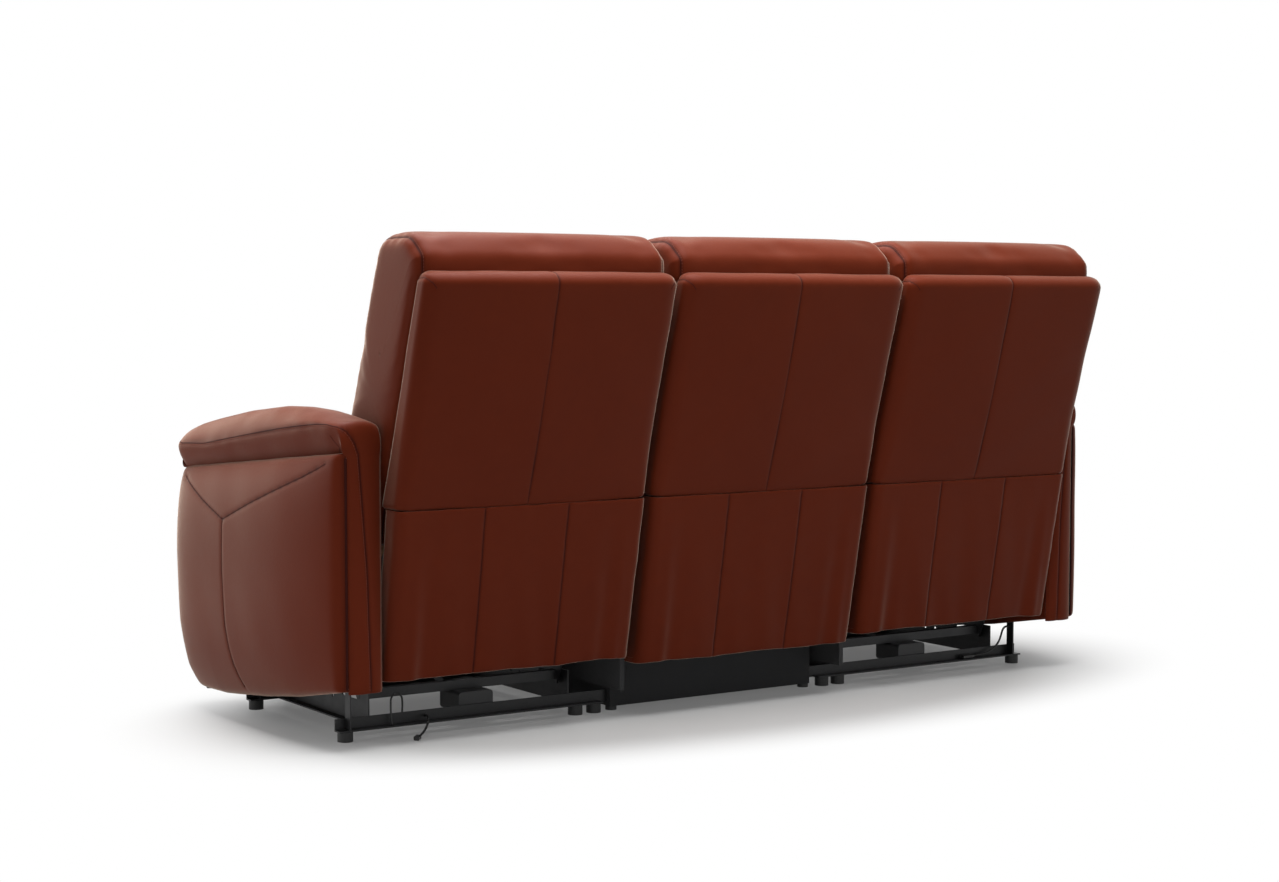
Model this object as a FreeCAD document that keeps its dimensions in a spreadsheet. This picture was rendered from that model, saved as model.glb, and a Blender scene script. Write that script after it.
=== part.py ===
import FreeCAD, Part
import math
import os
import re

import Sketcher
from FreeCAD import Placement, Rotation, Vector

# Three-seat reclining sofa. +Z is up, the sitter looks along -Y, and +X is the sitter's left.
# The origin is on the floor, under the middle of the sofa. All lengths are millimetres, angles degrees.

doc = FreeCAD.newDocument("ReclinerSofa")
sheet = doc.addObject("Spreadsheet::Sheet", "Sizes")

SIZES = (
    # Seats and backs
    ("seat_pitch", 600, "spacing of the three seats"),
    ("seat_half", 283, "half width of a seat cushion"),
    ("back_half", 292, "half width of a back"),
    ("cushion_half", 285, "half width of a back cushion"),
    ("seat_front", 466, "front of the seat cushions, ahead of the origin"),
    ("seat_rear", 66, "rear of the seat cushions, behind the origin"),
    ("frame_low", 350, "underside of the seat frames"),
    ("frame_rail", 36, "height of the seat frame rails"),
    ("frame_half", 262, "half width of a seat frame"),
    ("frame_front", 430, "front of a seat frame, ahead of the origin"),
    ("frame_rear", 60, "rear of a seat frame, behind the origin"),
    ("frame_wood", 32, "thickness of the seat frame rails"),
    ("spring_depth", 10, "springs, below the top of their rails"),
    ("spring_half", 22, "half width of a spring"),
    ("spring_wire", 3.6, "thickness of the spring steel"),
    ("seat_crown", 476, "top of the seat cushions"),
    ("seat_draw", 26, "how far the seat's sides draw in"),
    ("footrest_draw", 20, "how far the footrest's sides draw in"),
    ("soft_gap", 0.4, "clearance under soft parts"),
    ("seam_rear", 360, "rear seam of a back, behind the origin"),
    ("seam_level", 482, "height of the rear seam"),
    ("top_rear", 487, "top rear edge of a back, behind the origin"),
    ("top_level", 947, "height of the top rear edge"),
    ("hem_rear", 302, "bottom hem of the lower flap, behind the origin"),
    ("hem_level", 139, "height of the bottom hem"),
    ("middle_hem_drop", 17, "how much lower the middle seat's hem hangs"),
    ("shell_deep", 77, "depth of a back shell at its seam"),
    ("shell_thin", 46, "depth of a back shell at its top"),
    ("shell_wall", 15, "board of the back shell"),
    ("flap_leather", 8, "lined leather of the lower flap"),
    ("flap_return", 60, "how far the flap turns forward at its sides"),
    ("flap_wave", 5, "height of the folds at the hem"),
    ("crest_level", 1033, "top of the head rolls"),
    ("cushion_low", 402, "underside of the back cushions"),
    ("cushion_draw", 36, "how far the cushion's sides draw in"),
    ("cushion_stand", 16, "back cushion, behind the seat cushion"),
    ("roll_turn", 22, "turn of the head roll's edges"),
    ("hip_turn", 48, "turn of the back cushion's lower rear edge"),
    # Arms
    ("arm_inner", 896, "inner face of an arm"),
    ("arm_liner", 10, "padding on the arm's inner face"),
    ("arm_board", 12, "side boards of the arm frame"),
    ("arm_wide", 89, "width of an arm without its outer panel"),
    ("arm_outer", "=arm_inner + arm_wide", "outer face of the arm frame"),
    ("panel_deep", 58, "how far the outer panel stands off the frame"),
    ("arm_rear", 290, "rear of the arm frame, behind the origin"),
    ("arm_band", 14, "padding of the rear band"),
    ("arm_nose", 487, "front of the arm pad, ahead of the origin"),
    ("panel_front", 455, "front of the outer panel, ahead of the origin"),
    ("arm_low_rear", 127, "underside of the arm at the rear"),
    ("arm_low_front", 38, "underside of the arm at the front"),
    ("pad_under_rear", 592, "underside of the arm pad at the rear"),
    ("pad_under_front", 524, "underside of the arm pad at the front"),
    ("pad_overhang", 11, "how far the arm pad overhangs the frame"),
    ("pad_crown", 114, "height of the arm pad at its fullest"),
    ("band_foot", 18, "how far the rear band's foot is set in"),
    ("band_waist", 10, "how far the rear band's middle is set in"),
    ("band_head", 1, "how far the rear band's head is set in"),
    ("front_liner", 12, "padding on the arm's front"),
    ("front_swell", 2, "how far the front padding stands out"),
    ("panel_gap", 3, "outer panel, below the arm pad"),
    ("panel_lift", 10, "outer panel, above the frame's lower front edge"),
    ("front_bow", 14, "how far the outer panel's front edge bows out"),
    ("chin", 60, "slanted lower front corner of the arm, along and up"),
    ("ring_wood", 40, "rails inside the arm frame"),
    # Steel base of an end seat
    ("mech_middle", 612, "middle plane of the mechanism"),
    ("mech_half", 240, "from that plane to a side rail"),
    ("plate_inset", 9, "carriage plate, inside its side rail"),
    ("plate_line", "=mech_middle + mech_half - plate_inset", "middle of the outer carriage plate"),
    ("tube_rear", 159, "rear cross bar, behind the origin"),
    ("tube_front", 283, "front cross bar, ahead of the origin"),
    ("bar_side", 25, "leg of the angle steel"),
    ("bar_wall", 3, "thickness of the angle steel"),
    ("foot_tall", 20, "height of the round feet"),
    ("foot_radius", 16, "radius of the round feet"),
    ("bar_inner_end", 297, "inner end of a cross bar"),
    ("bar_outer_end", 930, "outer end of a cross bar"),
    ("foot_outer", 912, "outer feet, from the middle plane of the sofa"),
    ("foot_middle", 362, "second feet"),
    ("foot_inner", 315, "inner feet"),
    ("post_inset", 26, "arm post, in from the end of its cross bar"),
    ("post_seat", 24, "top leg of an arm post"),
    ("rail_tall", 72, "height of a side rail"),
    ("rail_wall", 3, "thickness of a side rail"),
    ("rail_foot", 20, "lower leg of a side rail"),
    ("rail_hole", 4.5, "radius of the holes in a side rail"),
    ("rail_hole_start", 20, "first hole of a side rail, ahead of the origin"),
    ("rail_hole_step", 38, "spacing of the holes in a side rail"),
    ("roller_level", 78, "height of the carriage rollers"),
    ("roller_radius", 7, "radius of the rollers"),
    ("roller_rear", 100, "rear roller, behind the origin"),
    ("roller_front", 160, "front roller, ahead of the origin"),
    ("plate_ear", 14, "edge of the carriage plate round a roller"),
    ("plate_lug", 28, "carriage plate, ahead of the lift arm pivot"),
    ("slide_travel", 70, "forward travel of the carriage"),
    ("running_gap", 0.3, "clearance of a moving fit"),
    # Linkage of the footrest, as forward distance and height
    ("layer", 8, "spacing of the link layers"),
    ("steel", 4, "thickness of plates and links"),
    ("lift_y", 300, "lift arm pivot, ahead of the origin"),
    ("lift_z", 200, "height of the lift arm pivot"),
    ("lift_length", 160, "lift arm from its pivot to the long link"),
    ("link_step", 55, "spacing of the long and short link on the lift arm"),
    ("link_length", 220, "long link and short link"),
    ("lift_angle", -75, "closed lift arm, above the forward direction"),
    ("link_angle", 92, "closed long link, above the forward direction"),
    ("tail", 24, "tail of the long link beyond its pivot"),
    ("control_y", 280.4, "control link pivot, ahead of the origin"),
    ("control_z", 167.3, "height of the control link pivot"),
    ("control_length", 161, "control link"),
    ("control_angle", -68.65, "closed control link, above the forward direction"),
    ("control_play", 6.2, "play of the control link's eye"),
    ("link_wide", 22, "width of the links"),
    ("pin", 4, "radius of the rivets"),
    ("pin_gap", 0.15, "clearance of a rivet in its hole"),
    ("torque_radius", 10, "radius of the torque tube"),
    ("footrest_back", 405, "back of the footrest pad, ahead of the origin"),
    ("footrest_thick", 60, "thickness of the footrest pad"),
    ("footrest_low", 75, "bottom of the footrest pad"),
    ("footrest_high", 330, "top of the footrest pad"),
    ("footrest_half", 272, "half width of the footrest pad"),
    # Back hinge
    ("hinge_y", 190, "back hinge, behind the origin"),
    ("hinge_z", 270, "height of the back hinge"),
    ("bracket_steel", 5, "thickness of the back brackets"),
    # Linear drive
    ("drive_radius", 64, "drive arm from the torque tube to the block's pin"),
    ("drive_slope", 13.7, "rise of the track"),
    ("drive_swing", 42.5, "half the swing of the drive arm"),
    ("track_wide", 22, "width of the track"),
    ("track_tall", 16, "height of the track"),
    ("track_root", 20, "how far the track reaches into the motor housing"),
    ("drive_pin", 4, "radius of the drive block's pins"),
    ("drive_play", 3.4, "play of that pin in the drive arm's slot"),
    ("drive_cheek", 15, "half width of a drive arm"),
    ("cheek_steel", 5, "thickness of a drive arm"),
    ("block_long", 60, "length of the drive block"),
    ("block_wide", 40, "width of the drive block"),
    ("block_tall", 34, "height of the drive block"),
    ("motor_wide", 82, "width of the motor housing"),
    ("motor_long", 84, "length of the motor housing"),
    ("motor_low", 28, "underside of the motor housing"),
    ("motor_high", 72, "top of the motor housing"),
    ("motor_round", 8, "rounding of the motor housing"),
    ("motor_bar", 20, "side of the square tube over the motor"),
    # Middle seat
    ("box_half", 275, "half width of the base box"),
    ("box_rear", 164, "rear of the base box, behind the origin"),
    ("box_front", 405, "front of the base box, ahead of the origin"),
    ("box_low", 9, "underside of the base box"),
    ("box_board", 15, "boards of the base box"),
    ("glide_radius", 12.5, "radius of the small glides"),
    ("side_board_near", 294.5, "inner face of the side boards"),
    ("side_board", 11, "thickness of the side boards"),
    ("side_board_low", 60, "underside of the side boards"),
    ("side_board_set", 20, "side boards, behind the front of the base box"),
    ("side_board_rear", 250, "rear of the side boards, behind the origin"),
    ("spacer_long", 300, "length of the spacers inside the side boards"),
    # Switches
    ("switch_y", 250, "middle of the switch plate, ahead of the origin"),
    ("switch_z", 530, "height of the switch plate"),
    ("switch_long", 74, "length of the switch plate"),
    ("switch_tall", 32, "height of the switch plate's face"),
    ("switch_thick", 2.5, "thickness of the switch plate"),
    ("button_radius", 9, "radius of a button"),
    ("button_step", 28, "spacing of the buttons"),
    ("button_travel", 1.5, "travel of a button"),
    ("button_proud", 2, "how far a button stands out"),
    # Leads
    ("lead_radius", 2.5, "radius of the leads"),
    ("loop_radius", 2, "radius of the cable loop"),
)
NAMES = {alias for alias, value, note in SIZES}
for row, (alias, value, note) in enumerate(SIZES, 1):
    sheet.set(f"A{row}", note)
    sheet.set(f"B{row}", str(value))
    sheet.setAlias(f"B{row}", alias)
doc.recompute()


def formula(text):
    """Points each size named in a formula at its cell on the sheet."""
    return re.sub(r"[a-z]\w*", lambda word: "Sizes." + word[0] if word[0] in NAMES else word[0], str(text))


def bind(piece, prop, text):
    piece.setExpression(prop, formula(text))


def size(text):
    """Works a formula out from the sheet, as a plain number."""
    value = sheet.evalExpression(formula(text))
    return float(getattr(value, "Value", value))


def put(piece, corner):
    for axis, text in zip("xyz", corner):
        bind(piece, f"Placement.Base.{axis}", text)
    return piece


def block(name, corner, sides):
    """A box by its low corner and its three sides."""
    piece = doc.addObject("Part::Box", name)
    for prop, text in zip(("Length", "Width", "Height"), sides):
        bind(piece, prop, text)
    return put(piece, corner)


TURNS = {"x": Rotation(Vector(0, 1, 0), 90), "y": Rotation(Vector(1, 0, 0), -90), "z": Rotation()}


def rod(name, start, axis, radius, length):
    """A round bar from its start, along one axis."""
    piece = doc.addObject("Part::Cylinder", name)
    bind(piece, "Radius", radius)
    bind(piece, "Height", length)
    piece.Placement = Placement(Vector(), TURNS[axis])
    return put(piece, start)


def joined(name, pieces):
    piece = doc.addObject("Part::MultiFuse", name)
    piece.Shapes = pieces
    return piece


def cut(name, base, tools):
    piece = doc.addObject("Part::Cut", name)
    piece.Base = base
    piece.Tool = tools[0] if len(tools) == 1 else joined(name + "_tools", tools)
    return piece


def group(name, pieces):
    piece = doc.addObject("Part::Compound", name)
    piece.Links = pieces
    return piece


def mirrored(name, source, plane="0"):
    """The same piece on the other side of a plane square to X."""
    piece = doc.addObject("Part::Mirroring", name)
    piece.Source = source
    piece.Normal = Vector(1, 0, 0)
    bind(piece, "Base.x", plane)
    return piece


def profile(name, points, start, length):
    """A plate or bar: an outline of (y, z) formulas, drawn on the YZ plane and padded along X."""
    body = doc.addObject("PartDesign::Body", name)
    sketch = body.newObject("Sketcher::SketchObject", name + "_outline")
    plane = next(item for item in body.Origin.OriginFeatures if item.Role == "YZ_Plane")
    sketch.AttachmentSupport = [(plane, "")]
    sketch.MapMode = "FlatFace"
    bind(sketch, "AttachmentOffset.Base.z", start)
    spots = [Vector(size(y), size(z), 0) for y, z in points]
    count = len(spots)
    for index in range(count):
        sketch.addGeometry(Part.LineSegment(spots[index], spots[(index + 1) % count]), False)
    for index in range(count):
        sketch.addConstraint(Sketcher.Constraint("Coincident", index, 2, (index + 1) % count, 1))
    for index, (y, z) in enumerate(points):
        for kind, text, value in (("DistanceX", y, spots[index].x), ("DistanceY", z, spots[index].y)):
            number = sketch.addConstraint(Sketcher.Constraint(kind, -1, 1, index, 1, value))
            sketch.setExpression(f"Constraints[{number}]", formula(text))
    pad = body.newObject("PartDesign::Pad", name + "_pad")
    pad.Profile = sketch
    bind(pad, "Length", length)
    sketch.Visibility = False
    return body


def solid(name, shape):
    """A free form, placed after its shape is made from the sheet's sizes."""
    piece = doc.addObject("Part::Feature", name)
    piece.Shape = shape
    piece.Placement = shape.Placement
    return piece


def loft(wires, ruled=False):
    return Part.makeLoft(wires, True, ruled)


def arc(first, middle, last):
    return Part.Arc(first, middle, last).toShape()


def line(first, last):
    return Part.LineSegment(first, last).toShape()


# Nodes, in the order in which they are written
nodes = []


def keep(name, piece):
    piece.Label = name
    nodes.append(piece)
    return piece


def keep_pair(name, piece):
    """Keeps a piece of the left side, and its mirror image on the right."""
    keep("left_" + name, piece)
    keep("right_" + name, mirrored("right_" + name, piece))
    return piece


def both_sides(name, piece):
    """A piece and its twin about the mechanism's middle plane, as one group."""
    return group(name, [piece, mirrored(name + "_twin", piece, "mech_middle")])


# Backs: a boarded shell, a loose lower flap and a cushion with a head roll

def back_shell(name, middle):
    """The upholstered rear box of a back, open below for its brackets."""
    outline = [
        ("seam_rear", "seam_level"),
        ("top_rear", "top_level"),
        ("top_rear - shell_thin", "top_level + 4"),
        ("seam_rear - shell_deep", "seam_level"),
    ]
    hollow = [
        ("seam_rear - shell_wall - 6", "seam_level - 30"),
        ("top_rear - shell_wall - 6", "top_level - shell_wall"),
        ("top_rear - shell_thin + shell_wall - 6", "top_level - shell_wall"),
        ("seam_rear - shell_deep + shell_wall - 10", "seam_level - 30"),
    ]
    outer = profile(name + "_outer", outline, f"{middle} - back_half", "2 * back_half")
    inner = profile(name + "_inner", hollow, f"{middle} - back_half + shell_wall", "2 * (back_half - shell_wall)")
    return cut(name, outer, [inner])


FOLDS = 6


def flap_wire(middle, level, rear, wave):
    """The flap's section at one height: a rear sheet in shallow folds, and a return at each side."""
    half = size("back_half")
    leather = size("flap_leather")
    deep = size("flap_return")
    step = 2 * half / FOLDS
    inner_step = 2 * (half - leather) / FOLDS
    edges = []
    for index in range(FOLDS):
        bulge = wave if index % 2 else -wave
        low = middle - half + index * step
        edges.append(arc(Vector(low, rear, level), Vector(low + step / 2, rear + bulge, level),
                         Vector(low + step, rear, level)))
    edges.append(line(Vector(middle + half, rear, level), Vector(middle + half, rear - deep, level)))
    edges.append(line(Vector(middle + half, rear - deep, level), Vector(middle + half - leather, rear - deep, level)))
    edges.append(line(Vector(middle + half - leather, rear - deep, level),
                      Vector(middle + half - leather, rear - leather, level)))
    for index in reversed(range(FOLDS)):
        bulge = wave if index % 2 else -wave
        low = middle - half + leather + index * inner_step
        edges.append(arc(Vector(low + inner_step, rear - leather, level),
                         Vector(low + inner_step / 2, rear - leather + bulge, level),
                         Vector(low, rear - leather, level)))
    edges.append(line(Vector(middle - half + leather, rear - leather, level),
                      Vector(middle - half + leather, rear - deep, level)))
    edges.append(line(Vector(middle - half + leather, rear - deep, level), Vector(middle - half, rear - deep, level)))
    edges.append(line(Vector(middle - half, rear - deep, level), Vector(middle - half, rear, level)))
    return Part.Wire(edges)


def back_flap(name, middle, drop):
    """The lower flap, from just under the seam to the hem."""
    high = size("seam_level - running_gap")
    low = size("hem_level") - drop
    rear_high = size("seam_rear")
    rear_low = size("hem_rear") - drop * 0.17
    wires = []
    for share in (0, 0.5, 1):
        level = high + (low - high) * share
        rear = rear_high + (rear_low - rear_high) * share
        wires.append(flap_wire(middle, level, rear, 0.4 + (size("flap_wave") - 0.4) * share))
    return solid(name, loft(wires, True))


CROWN_STATIONS = (-1, -0.9, -0.7, -0.35, 0.35, 0.7, 0.9, 1)


def crowned(half, draw):
    """Places across a cushion, and how far its section draws in there: little but near the sides."""
    return [(half * share, draw * (0.12 * share ** 2 + 0.88 * share ** 6)) for share in CROWN_STATIONS]


def shell_front(level):
    """The front face of a back shell at one height."""
    low = size("seam_rear - shell_deep")
    slope = (size("top_rear - shell_thin") - low) / size("top_level + 4 - seam_level")
    return low + (level - size("seam_level")) * slope


# The cushion's front, as shares of its depth and height: lumbar swell, then the rise to the head roll
CUSHION_FRONT = ((0.011, 0.171), (0.147, 0.385), (0.322, 0.615), (0.439, 0.821))
ROLL_EDGE = 0.567
ROLL_CREST = 0.728


def back_cushion_wire(across, draw):
    """The cushion's side section: lumbar swell, straight rise, head roll and flat rear."""
    top = size("crest_level") - 0.35 * draw
    low = size("cushion_low")
    gap = size("soft_gap")
    turn = size("roll_turn")
    roll_rear = shell_front(size("top_level"))
    seam_front = shell_front(size("seam_level - soft_gap"))
    face = size("seat_rear + cushion_stand") + draw
    deep = roll_rear - size("seat_rear + cushion_stand")
    tall = size("crest_level") - low
    spot = [(face, low + 0.3 * draw)]
    spot += [(face + out * deep, low + up * tall) for out, up in CUSHION_FRONT]
    spot += [
        (face + ROLL_EDGE * deep, top - turn),
        (face + ROLL_CREST * deep - 0.6 * draw, top),
        (roll_rear - turn - 0.2 * draw, top - turn),
        (roll_rear - gap, size("top_level")),
        (seam_front - gap, size("seam_level - soft_gap")),
        (seam_front - size("hip_turn") / 4, low + size("hip_turn") / 2),
        (seam_front - size("hip_turn"), low + 0.2 * draw),
    ]
    p = [Vector(across, y, z) for y, z in spot]
    edges = [arc(p[0], p[1], p[2]), line(p[2], p[3]), arc(p[3], p[4], p[5]), arc(p[5], p[6], p[7]),
             line(p[7], p[8]), line(p[8], p[9]), arc(p[9], p[10], p[11]), line(p[11], p[0])]
    return Part.Wire(edges)


def back_cushion(name, middle):
    stations = crowned(size("cushion_half"), size("cushion_draw"))
    return solid(name, loft([back_cushion_wire(middle + across, pull) for across, pull in stations]))


def seat_cushion_wire(across, draw):
    """The seat's side section: a crowned top, and a front roll that hangs over the frame."""
    front = -size("seat_front") + 0.3 * draw
    rear = size("seat_rear") - 0.2 * draw
    under = size("frame_low + frame_rail + soft_gap")
    lip = -size("frame_front + soft_gap") - 1
    hang = size("frame_low") + 4
    top = size("seat_crown") - draw
    p = [Vector(across, y, z) for y, z in (
        (rear, under), (rear, top - 18), (rear - 60, top - 5), (rear - 180, top - 4), (-180, top),
        (front + 110, top), (front + 28, top - 28), (front, top - 62), (front + 1, hang + 16),
        (front + 14, hang), (lip - 1, hang), (lip, under))]
    edges = [line(p[0], p[1]), arc(p[1], p[2], p[3]), line(p[3], p[5]), arc(p[5], p[6], p[7]),
             line(p[7], p[8]), line(p[8], p[9]), line(p[9], p[10]), line(p[10], p[11]), line(p[11], p[0])]
    return Part.Wire(edges)


def seat_cushion(name, middle):
    stations = crowned(size("seat_half"), size("seat_draw"))
    return solid(name, loft([seat_cushion_wire(middle + across, draw) for across, draw in stations]))


left = size("seat_pitch")
keep_pair("back_shell", back_shell("left_back_shell", "seat_pitch"))
keep_pair("back_flap", back_flap("left_back_flap", left, 0))
keep_pair("back_cushion", back_cushion("left_back_cushion", left))
keep_pair("seat_cushion", seat_cushion("left_seat_cushion", left))
keep("centre_back_shell", back_shell("centre_back_shell", "0"))
keep("centre_back_flap", back_flap("centre_back_flap", 0, size("middle_hem_drop")))
keep("centre_back_cushion", back_cushion("centre_back_cushion", 0))
keep("centre_seat_cushion", seat_cushion("centre_seat_cushion", 0))


# Arms

def arm_outline(inset):
    """The arm's side outline as (y, z) formulas, drawn in by an inset."""
    return [
        (f"arm_rear - {inset}", f"arm_low_rear + {inset}"),
        (f"arm_rear - {inset}", f"pad_under_rear - running_gap - {inset}"),
        (f"-panel_front + front_liner + {inset}", f"pad_under_front - running_gap - {inset}"),
        (f"-panel_front + front_liner + {inset}", f"arm_low_front + chin + {inset}"),
        (f"-panel_front + front_liner + chin + {inset}", f"arm_low_front + {inset}"),
    ]


outer_board = profile("arm_outer_board", arm_outline("0"), "arm_outer - arm_board", "arm_board")
inner_board = profile("arm_inner_board", arm_outline("0"), "arm_inner + arm_liner", "arm_board")
ring_solid = profile("arm_ring_solid", arm_outline("0"), "arm_inner + arm_liner + arm_board",
                     "arm_outer - arm_inner - arm_liner - 2 * arm_board")
ring_window = profile("arm_ring_window", arm_outline("ring_wood"), "arm_inner + arm_liner",
                      "arm_outer - arm_inner - arm_liner")
arm_ring = cut("arm_ring", ring_solid, [ring_window])
keep_pair("arm_frame", group("left_arm_frame", [outer_board, inner_board, arm_ring]))


def panel_wire(across, share):
    """The outer panel's edge, drawn towards its middle by a share, with a round front."""
    rear = size("arm_rear + arm_band")
    front = -size("panel_front")
    high_rear = size("pad_under_rear - panel_gap")
    high_front = size("pad_under_front - panel_gap")
    low_rear = size("arm_low_rear")
    low_front = size("arm_low_front + panel_lift")
    middle = Vector(0, (rear + front) / 2, (high_rear + low_front) / 2)
    spots = [
        (rear, low_rear),
        (rear, high_rear),
        (front, high_front),
        (front - size("front_bow"), low_front + 0.53 * (high_front - low_front)),
        (front + size("chin"), low_front),
        (front + 0.43 * (rear - front), low_front + 0.28 * (low_rear - low_front)),
    ]
    p = []
    for y, z in spots:
        spot = Vector(0, y, z)
        spot = middle + (spot - middle) * share
        p.append(Vector(across, spot.y, spot.z))
    return Part.Wire([line(p[0], p[1]), line(p[1], p[2]), arc(p[2], p[3], p[4]), line(p[4], p[5]), line(p[5], p[0])])


panel_flat = size("arm_outer + running_gap")
panel_top = size("arm_outer + panel_deep")
panel_rise = panel_top - panel_flat
panel_stations = ((0, 0.985), (0.45, 1.0), (0.8, 0.95), (0.96, 0.84), (1.0, 0.66))
panel_wires = [panel_wire(panel_flat + panel_rise * rise, share) for rise, share in panel_stations]
keep_pair("arm_outer_panel", solid("left_arm_outer_panel", loft(panel_wires, True)))

inner_face = profile("arm_inner_face", arm_outline("panel_gap"), "arm_inner", "arm_liner - running_gap")
front_face = profile("arm_front_face", [
    ("-panel_front - front_swell", "arm_low_front + chin + front_swell"),
    ("-panel_front - front_swell", "pad_under_front - front_swell"),
    ("-panel_front + front_liner - running_gap", "pad_under_front - front_swell"),
    ("-panel_front + front_liner - running_gap", "arm_low_front + chin"),
], "arm_inner", "arm_outer - arm_inner")
keep_pair("arm_inner_panel", joined("left_arm_inner_panel", [inner_face, front_face]))


def pad_wire(along, inner, outer, low, high):
    """One section of the arm pad, across the arm: flat below, full at the sides, crowned on top."""
    wide = outer - inner
    shoulder = low + (high - low) * 0.62
    p = [Vector(x, along, z) for x, z in (
        (inner + 6, low), (outer - 6, low), (outer, low + (shoulder - low) * 0.5), (outer - 4, shoulder),
        (inner + wide * 0.5, high), (inner + 4, shoulder), (inner, low + (shoulder - low) * 0.5))]
    return Part.Wire([line(p[0], p[1]), arc(p[1], p[2], p[3]), arc(p[3], p[4], p[5]), arc(p[5], p[6], p[0])])


def pad_under(along):
    """The sloping underside of the pad."""
    rear = size("arm_rear")
    front = -size("panel_front")
    share = (rear - along) / (rear - front)
    return size("pad_under_rear") + (size("pad_under_front") - size("pad_under_rear")) * min(share, 1.0)


# Sections of the pad from its nose to its rear: place, insets of its inner and outer edge, lift, and height
PAD_SECTIONS = (
    (0.000, 14, 10, 14, 0.40),
    (0.013, 4, 3, 2, 0.63),
    (0.058, 0, 0, 0, 0.81),
    (0.202, 0, 0, 0, 0.94),
    (0.395, 0, 0, 0, 1.00),
    (0.627, 0, 0, 0, 0.98),
    (0.794, 0, 0, 0, 0.895),
    (0.923, 0, 0, 0, 0.72),
    (0.990, 0, 3, 0, 0.54),
    (1.018, 3, 8, 0, 0.316),
)
pad_inner = size("arm_inner")
pad_outer = size("arm_outer + pad_overhang")
pad_nose = -size("arm_nose")
pad_long = size("arm_nose + arm_rear")
pad_stations = [
    (pad_nose + place * pad_long, pad_inner + inner, pad_outer - outer, up, share * size("pad_crown"))
    for place, inner, outer, up, share in PAD_SECTIONS
]
pad_wires = [pad_wire(along, inner, outer, pad_under(along) + up, pad_under(along) + tall)
             for along, inner, outer, up, tall in pad_stations]
top_pad = solid("arm_top_pad", loft(pad_wires))


def band_wire(level, outer):
    """One level section of the rear band, rounded at the back."""
    inner = size("arm_inner")
    near = size("arm_rear + running_gap")
    far = size("arm_rear + arm_band")
    edge = far - size("arm_band / 2")
    p = [Vector(x, y, level) for x, y in (
        (inner, near), (outer, near), (outer, edge), ((inner + outer) / 2, far), (inner, edge))]
    return Part.Wire([line(p[0], p[1]), line(p[1], p[2]), arc(p[2], p[3], p[4]), line(p[4], p[0])])


band_stations = (
    (size("arm_low_rear - 5"), size("arm_outer - band_foot")),
    (size("(arm_low_rear + pad_under_rear) / 2"), size("arm_outer - band_waist")),
    (size("pad_under_rear + 8"), size("arm_outer - band_head")),
)
rear_band = solid("arm_rear_band", loft([band_wire(level, outer) for level, outer in band_stations], True))
keep_pair("arm_pad", joined("left_arm_pad", [top_pad, rear_band]))


# Switch plates on the arms' inner faces, with two buttons each

plate_face = "arm_inner - switch_thick"
switch_face = block("switch_face", (plate_face, "-switch_y - switch_long / 2", "switch_z - switch_tall / 2"),
                    ("switch_thick", "switch_long", "switch_tall"))
button_wells = [
    rod(f"button_well_{index}", (f"{plate_face} - 1", f"-switch_y + {side} * button_step / 2", "switch_z"), "x",
        "button_radius + running_gap", "switch_thick + 2")
    for index, side in enumerate((-1, 1))
]
keep_pair("switch_plate", cut("left_switch_plate", switch_face, button_wells))
for button, side in (("recline_button", -1), ("return_button", 1)):
    cap = rod("left_" + button, (f"{plate_face} - button_proud", f"-switch_y + {side} * button_step / 2",
                                 "switch_z"), "x",
              "button_radius", "switch_thick + button_proud - button_travel - running_gap")
    keep_pair(button, cap)


# Steel base under each end seat

def cross_bar(name, middle):
    """An angle bar: a flat leg on the feet, and a standing leg that reaches the middle seat's box."""
    flat = block(name + "_flat", ("bar_inner_end", f"{middle} - bar_side / 2", "foot_tall"),
                 ("bar_outer_end - bar_inner_end", "bar_side", "bar_wall"))
    standing = block(name + "_standing", ("box_half + running_gap", f"{middle} - bar_side / 2", "foot_tall"),
                     ("bar_outer_end - box_half - running_gap", "bar_wall", "bar_side"))
    return joined(name, [flat, standing])


def arm_post(name, middle, top):
    """A folded bracket that carries the arm on the end of a cross bar."""
    upright = block(name + "_upright", ("bar_outer_end - post_inset", f"{middle} - bar_side / 2 + bar_wall",
                                        "foot_tall + bar_wall"),
                    ("bar_wall", "bar_side - bar_wall", f"{top} - foot_tall - bar_wall"))
    seat = block(name + "_seat", ("bar_outer_end - post_inset", f"{middle} - bar_side / 2 + bar_wall",
                                  f"{top} - bar_wall"),
                 ("post_seat", "bar_side - bar_wall", "bar_wall"))
    return joined(name, [upright, seat])


arm_slope = "(arm_low_rear - arm_low_front) / (arm_rear + panel_front - front_liner - chin)"
rear_post_top = f"arm_low_rear - (arm_rear - tube_rear + bar_side / 2) * {arm_slope} - running_gap"
front_post_top = f"arm_low_rear - (arm_rear + tube_front + bar_side / 2) * {arm_slope} - running_gap"
rear_bar = cross_bar("rear_bar", "tube_rear")
front_bar = cross_bar("front_bar", "-tube_front")
left_bars = group("left_bars", [
    joined("rear_bar_post", [rear_bar, arm_post("rear_post", "tube_rear", rear_post_top)]),
    joined("front_bar_post", [front_bar, arm_post("front_post", "-tube_front", front_post_top)]),
])
keep("cross_bars", group("cross_bars", [left_bars, mirrored("right_bars", left_bars)]))

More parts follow.
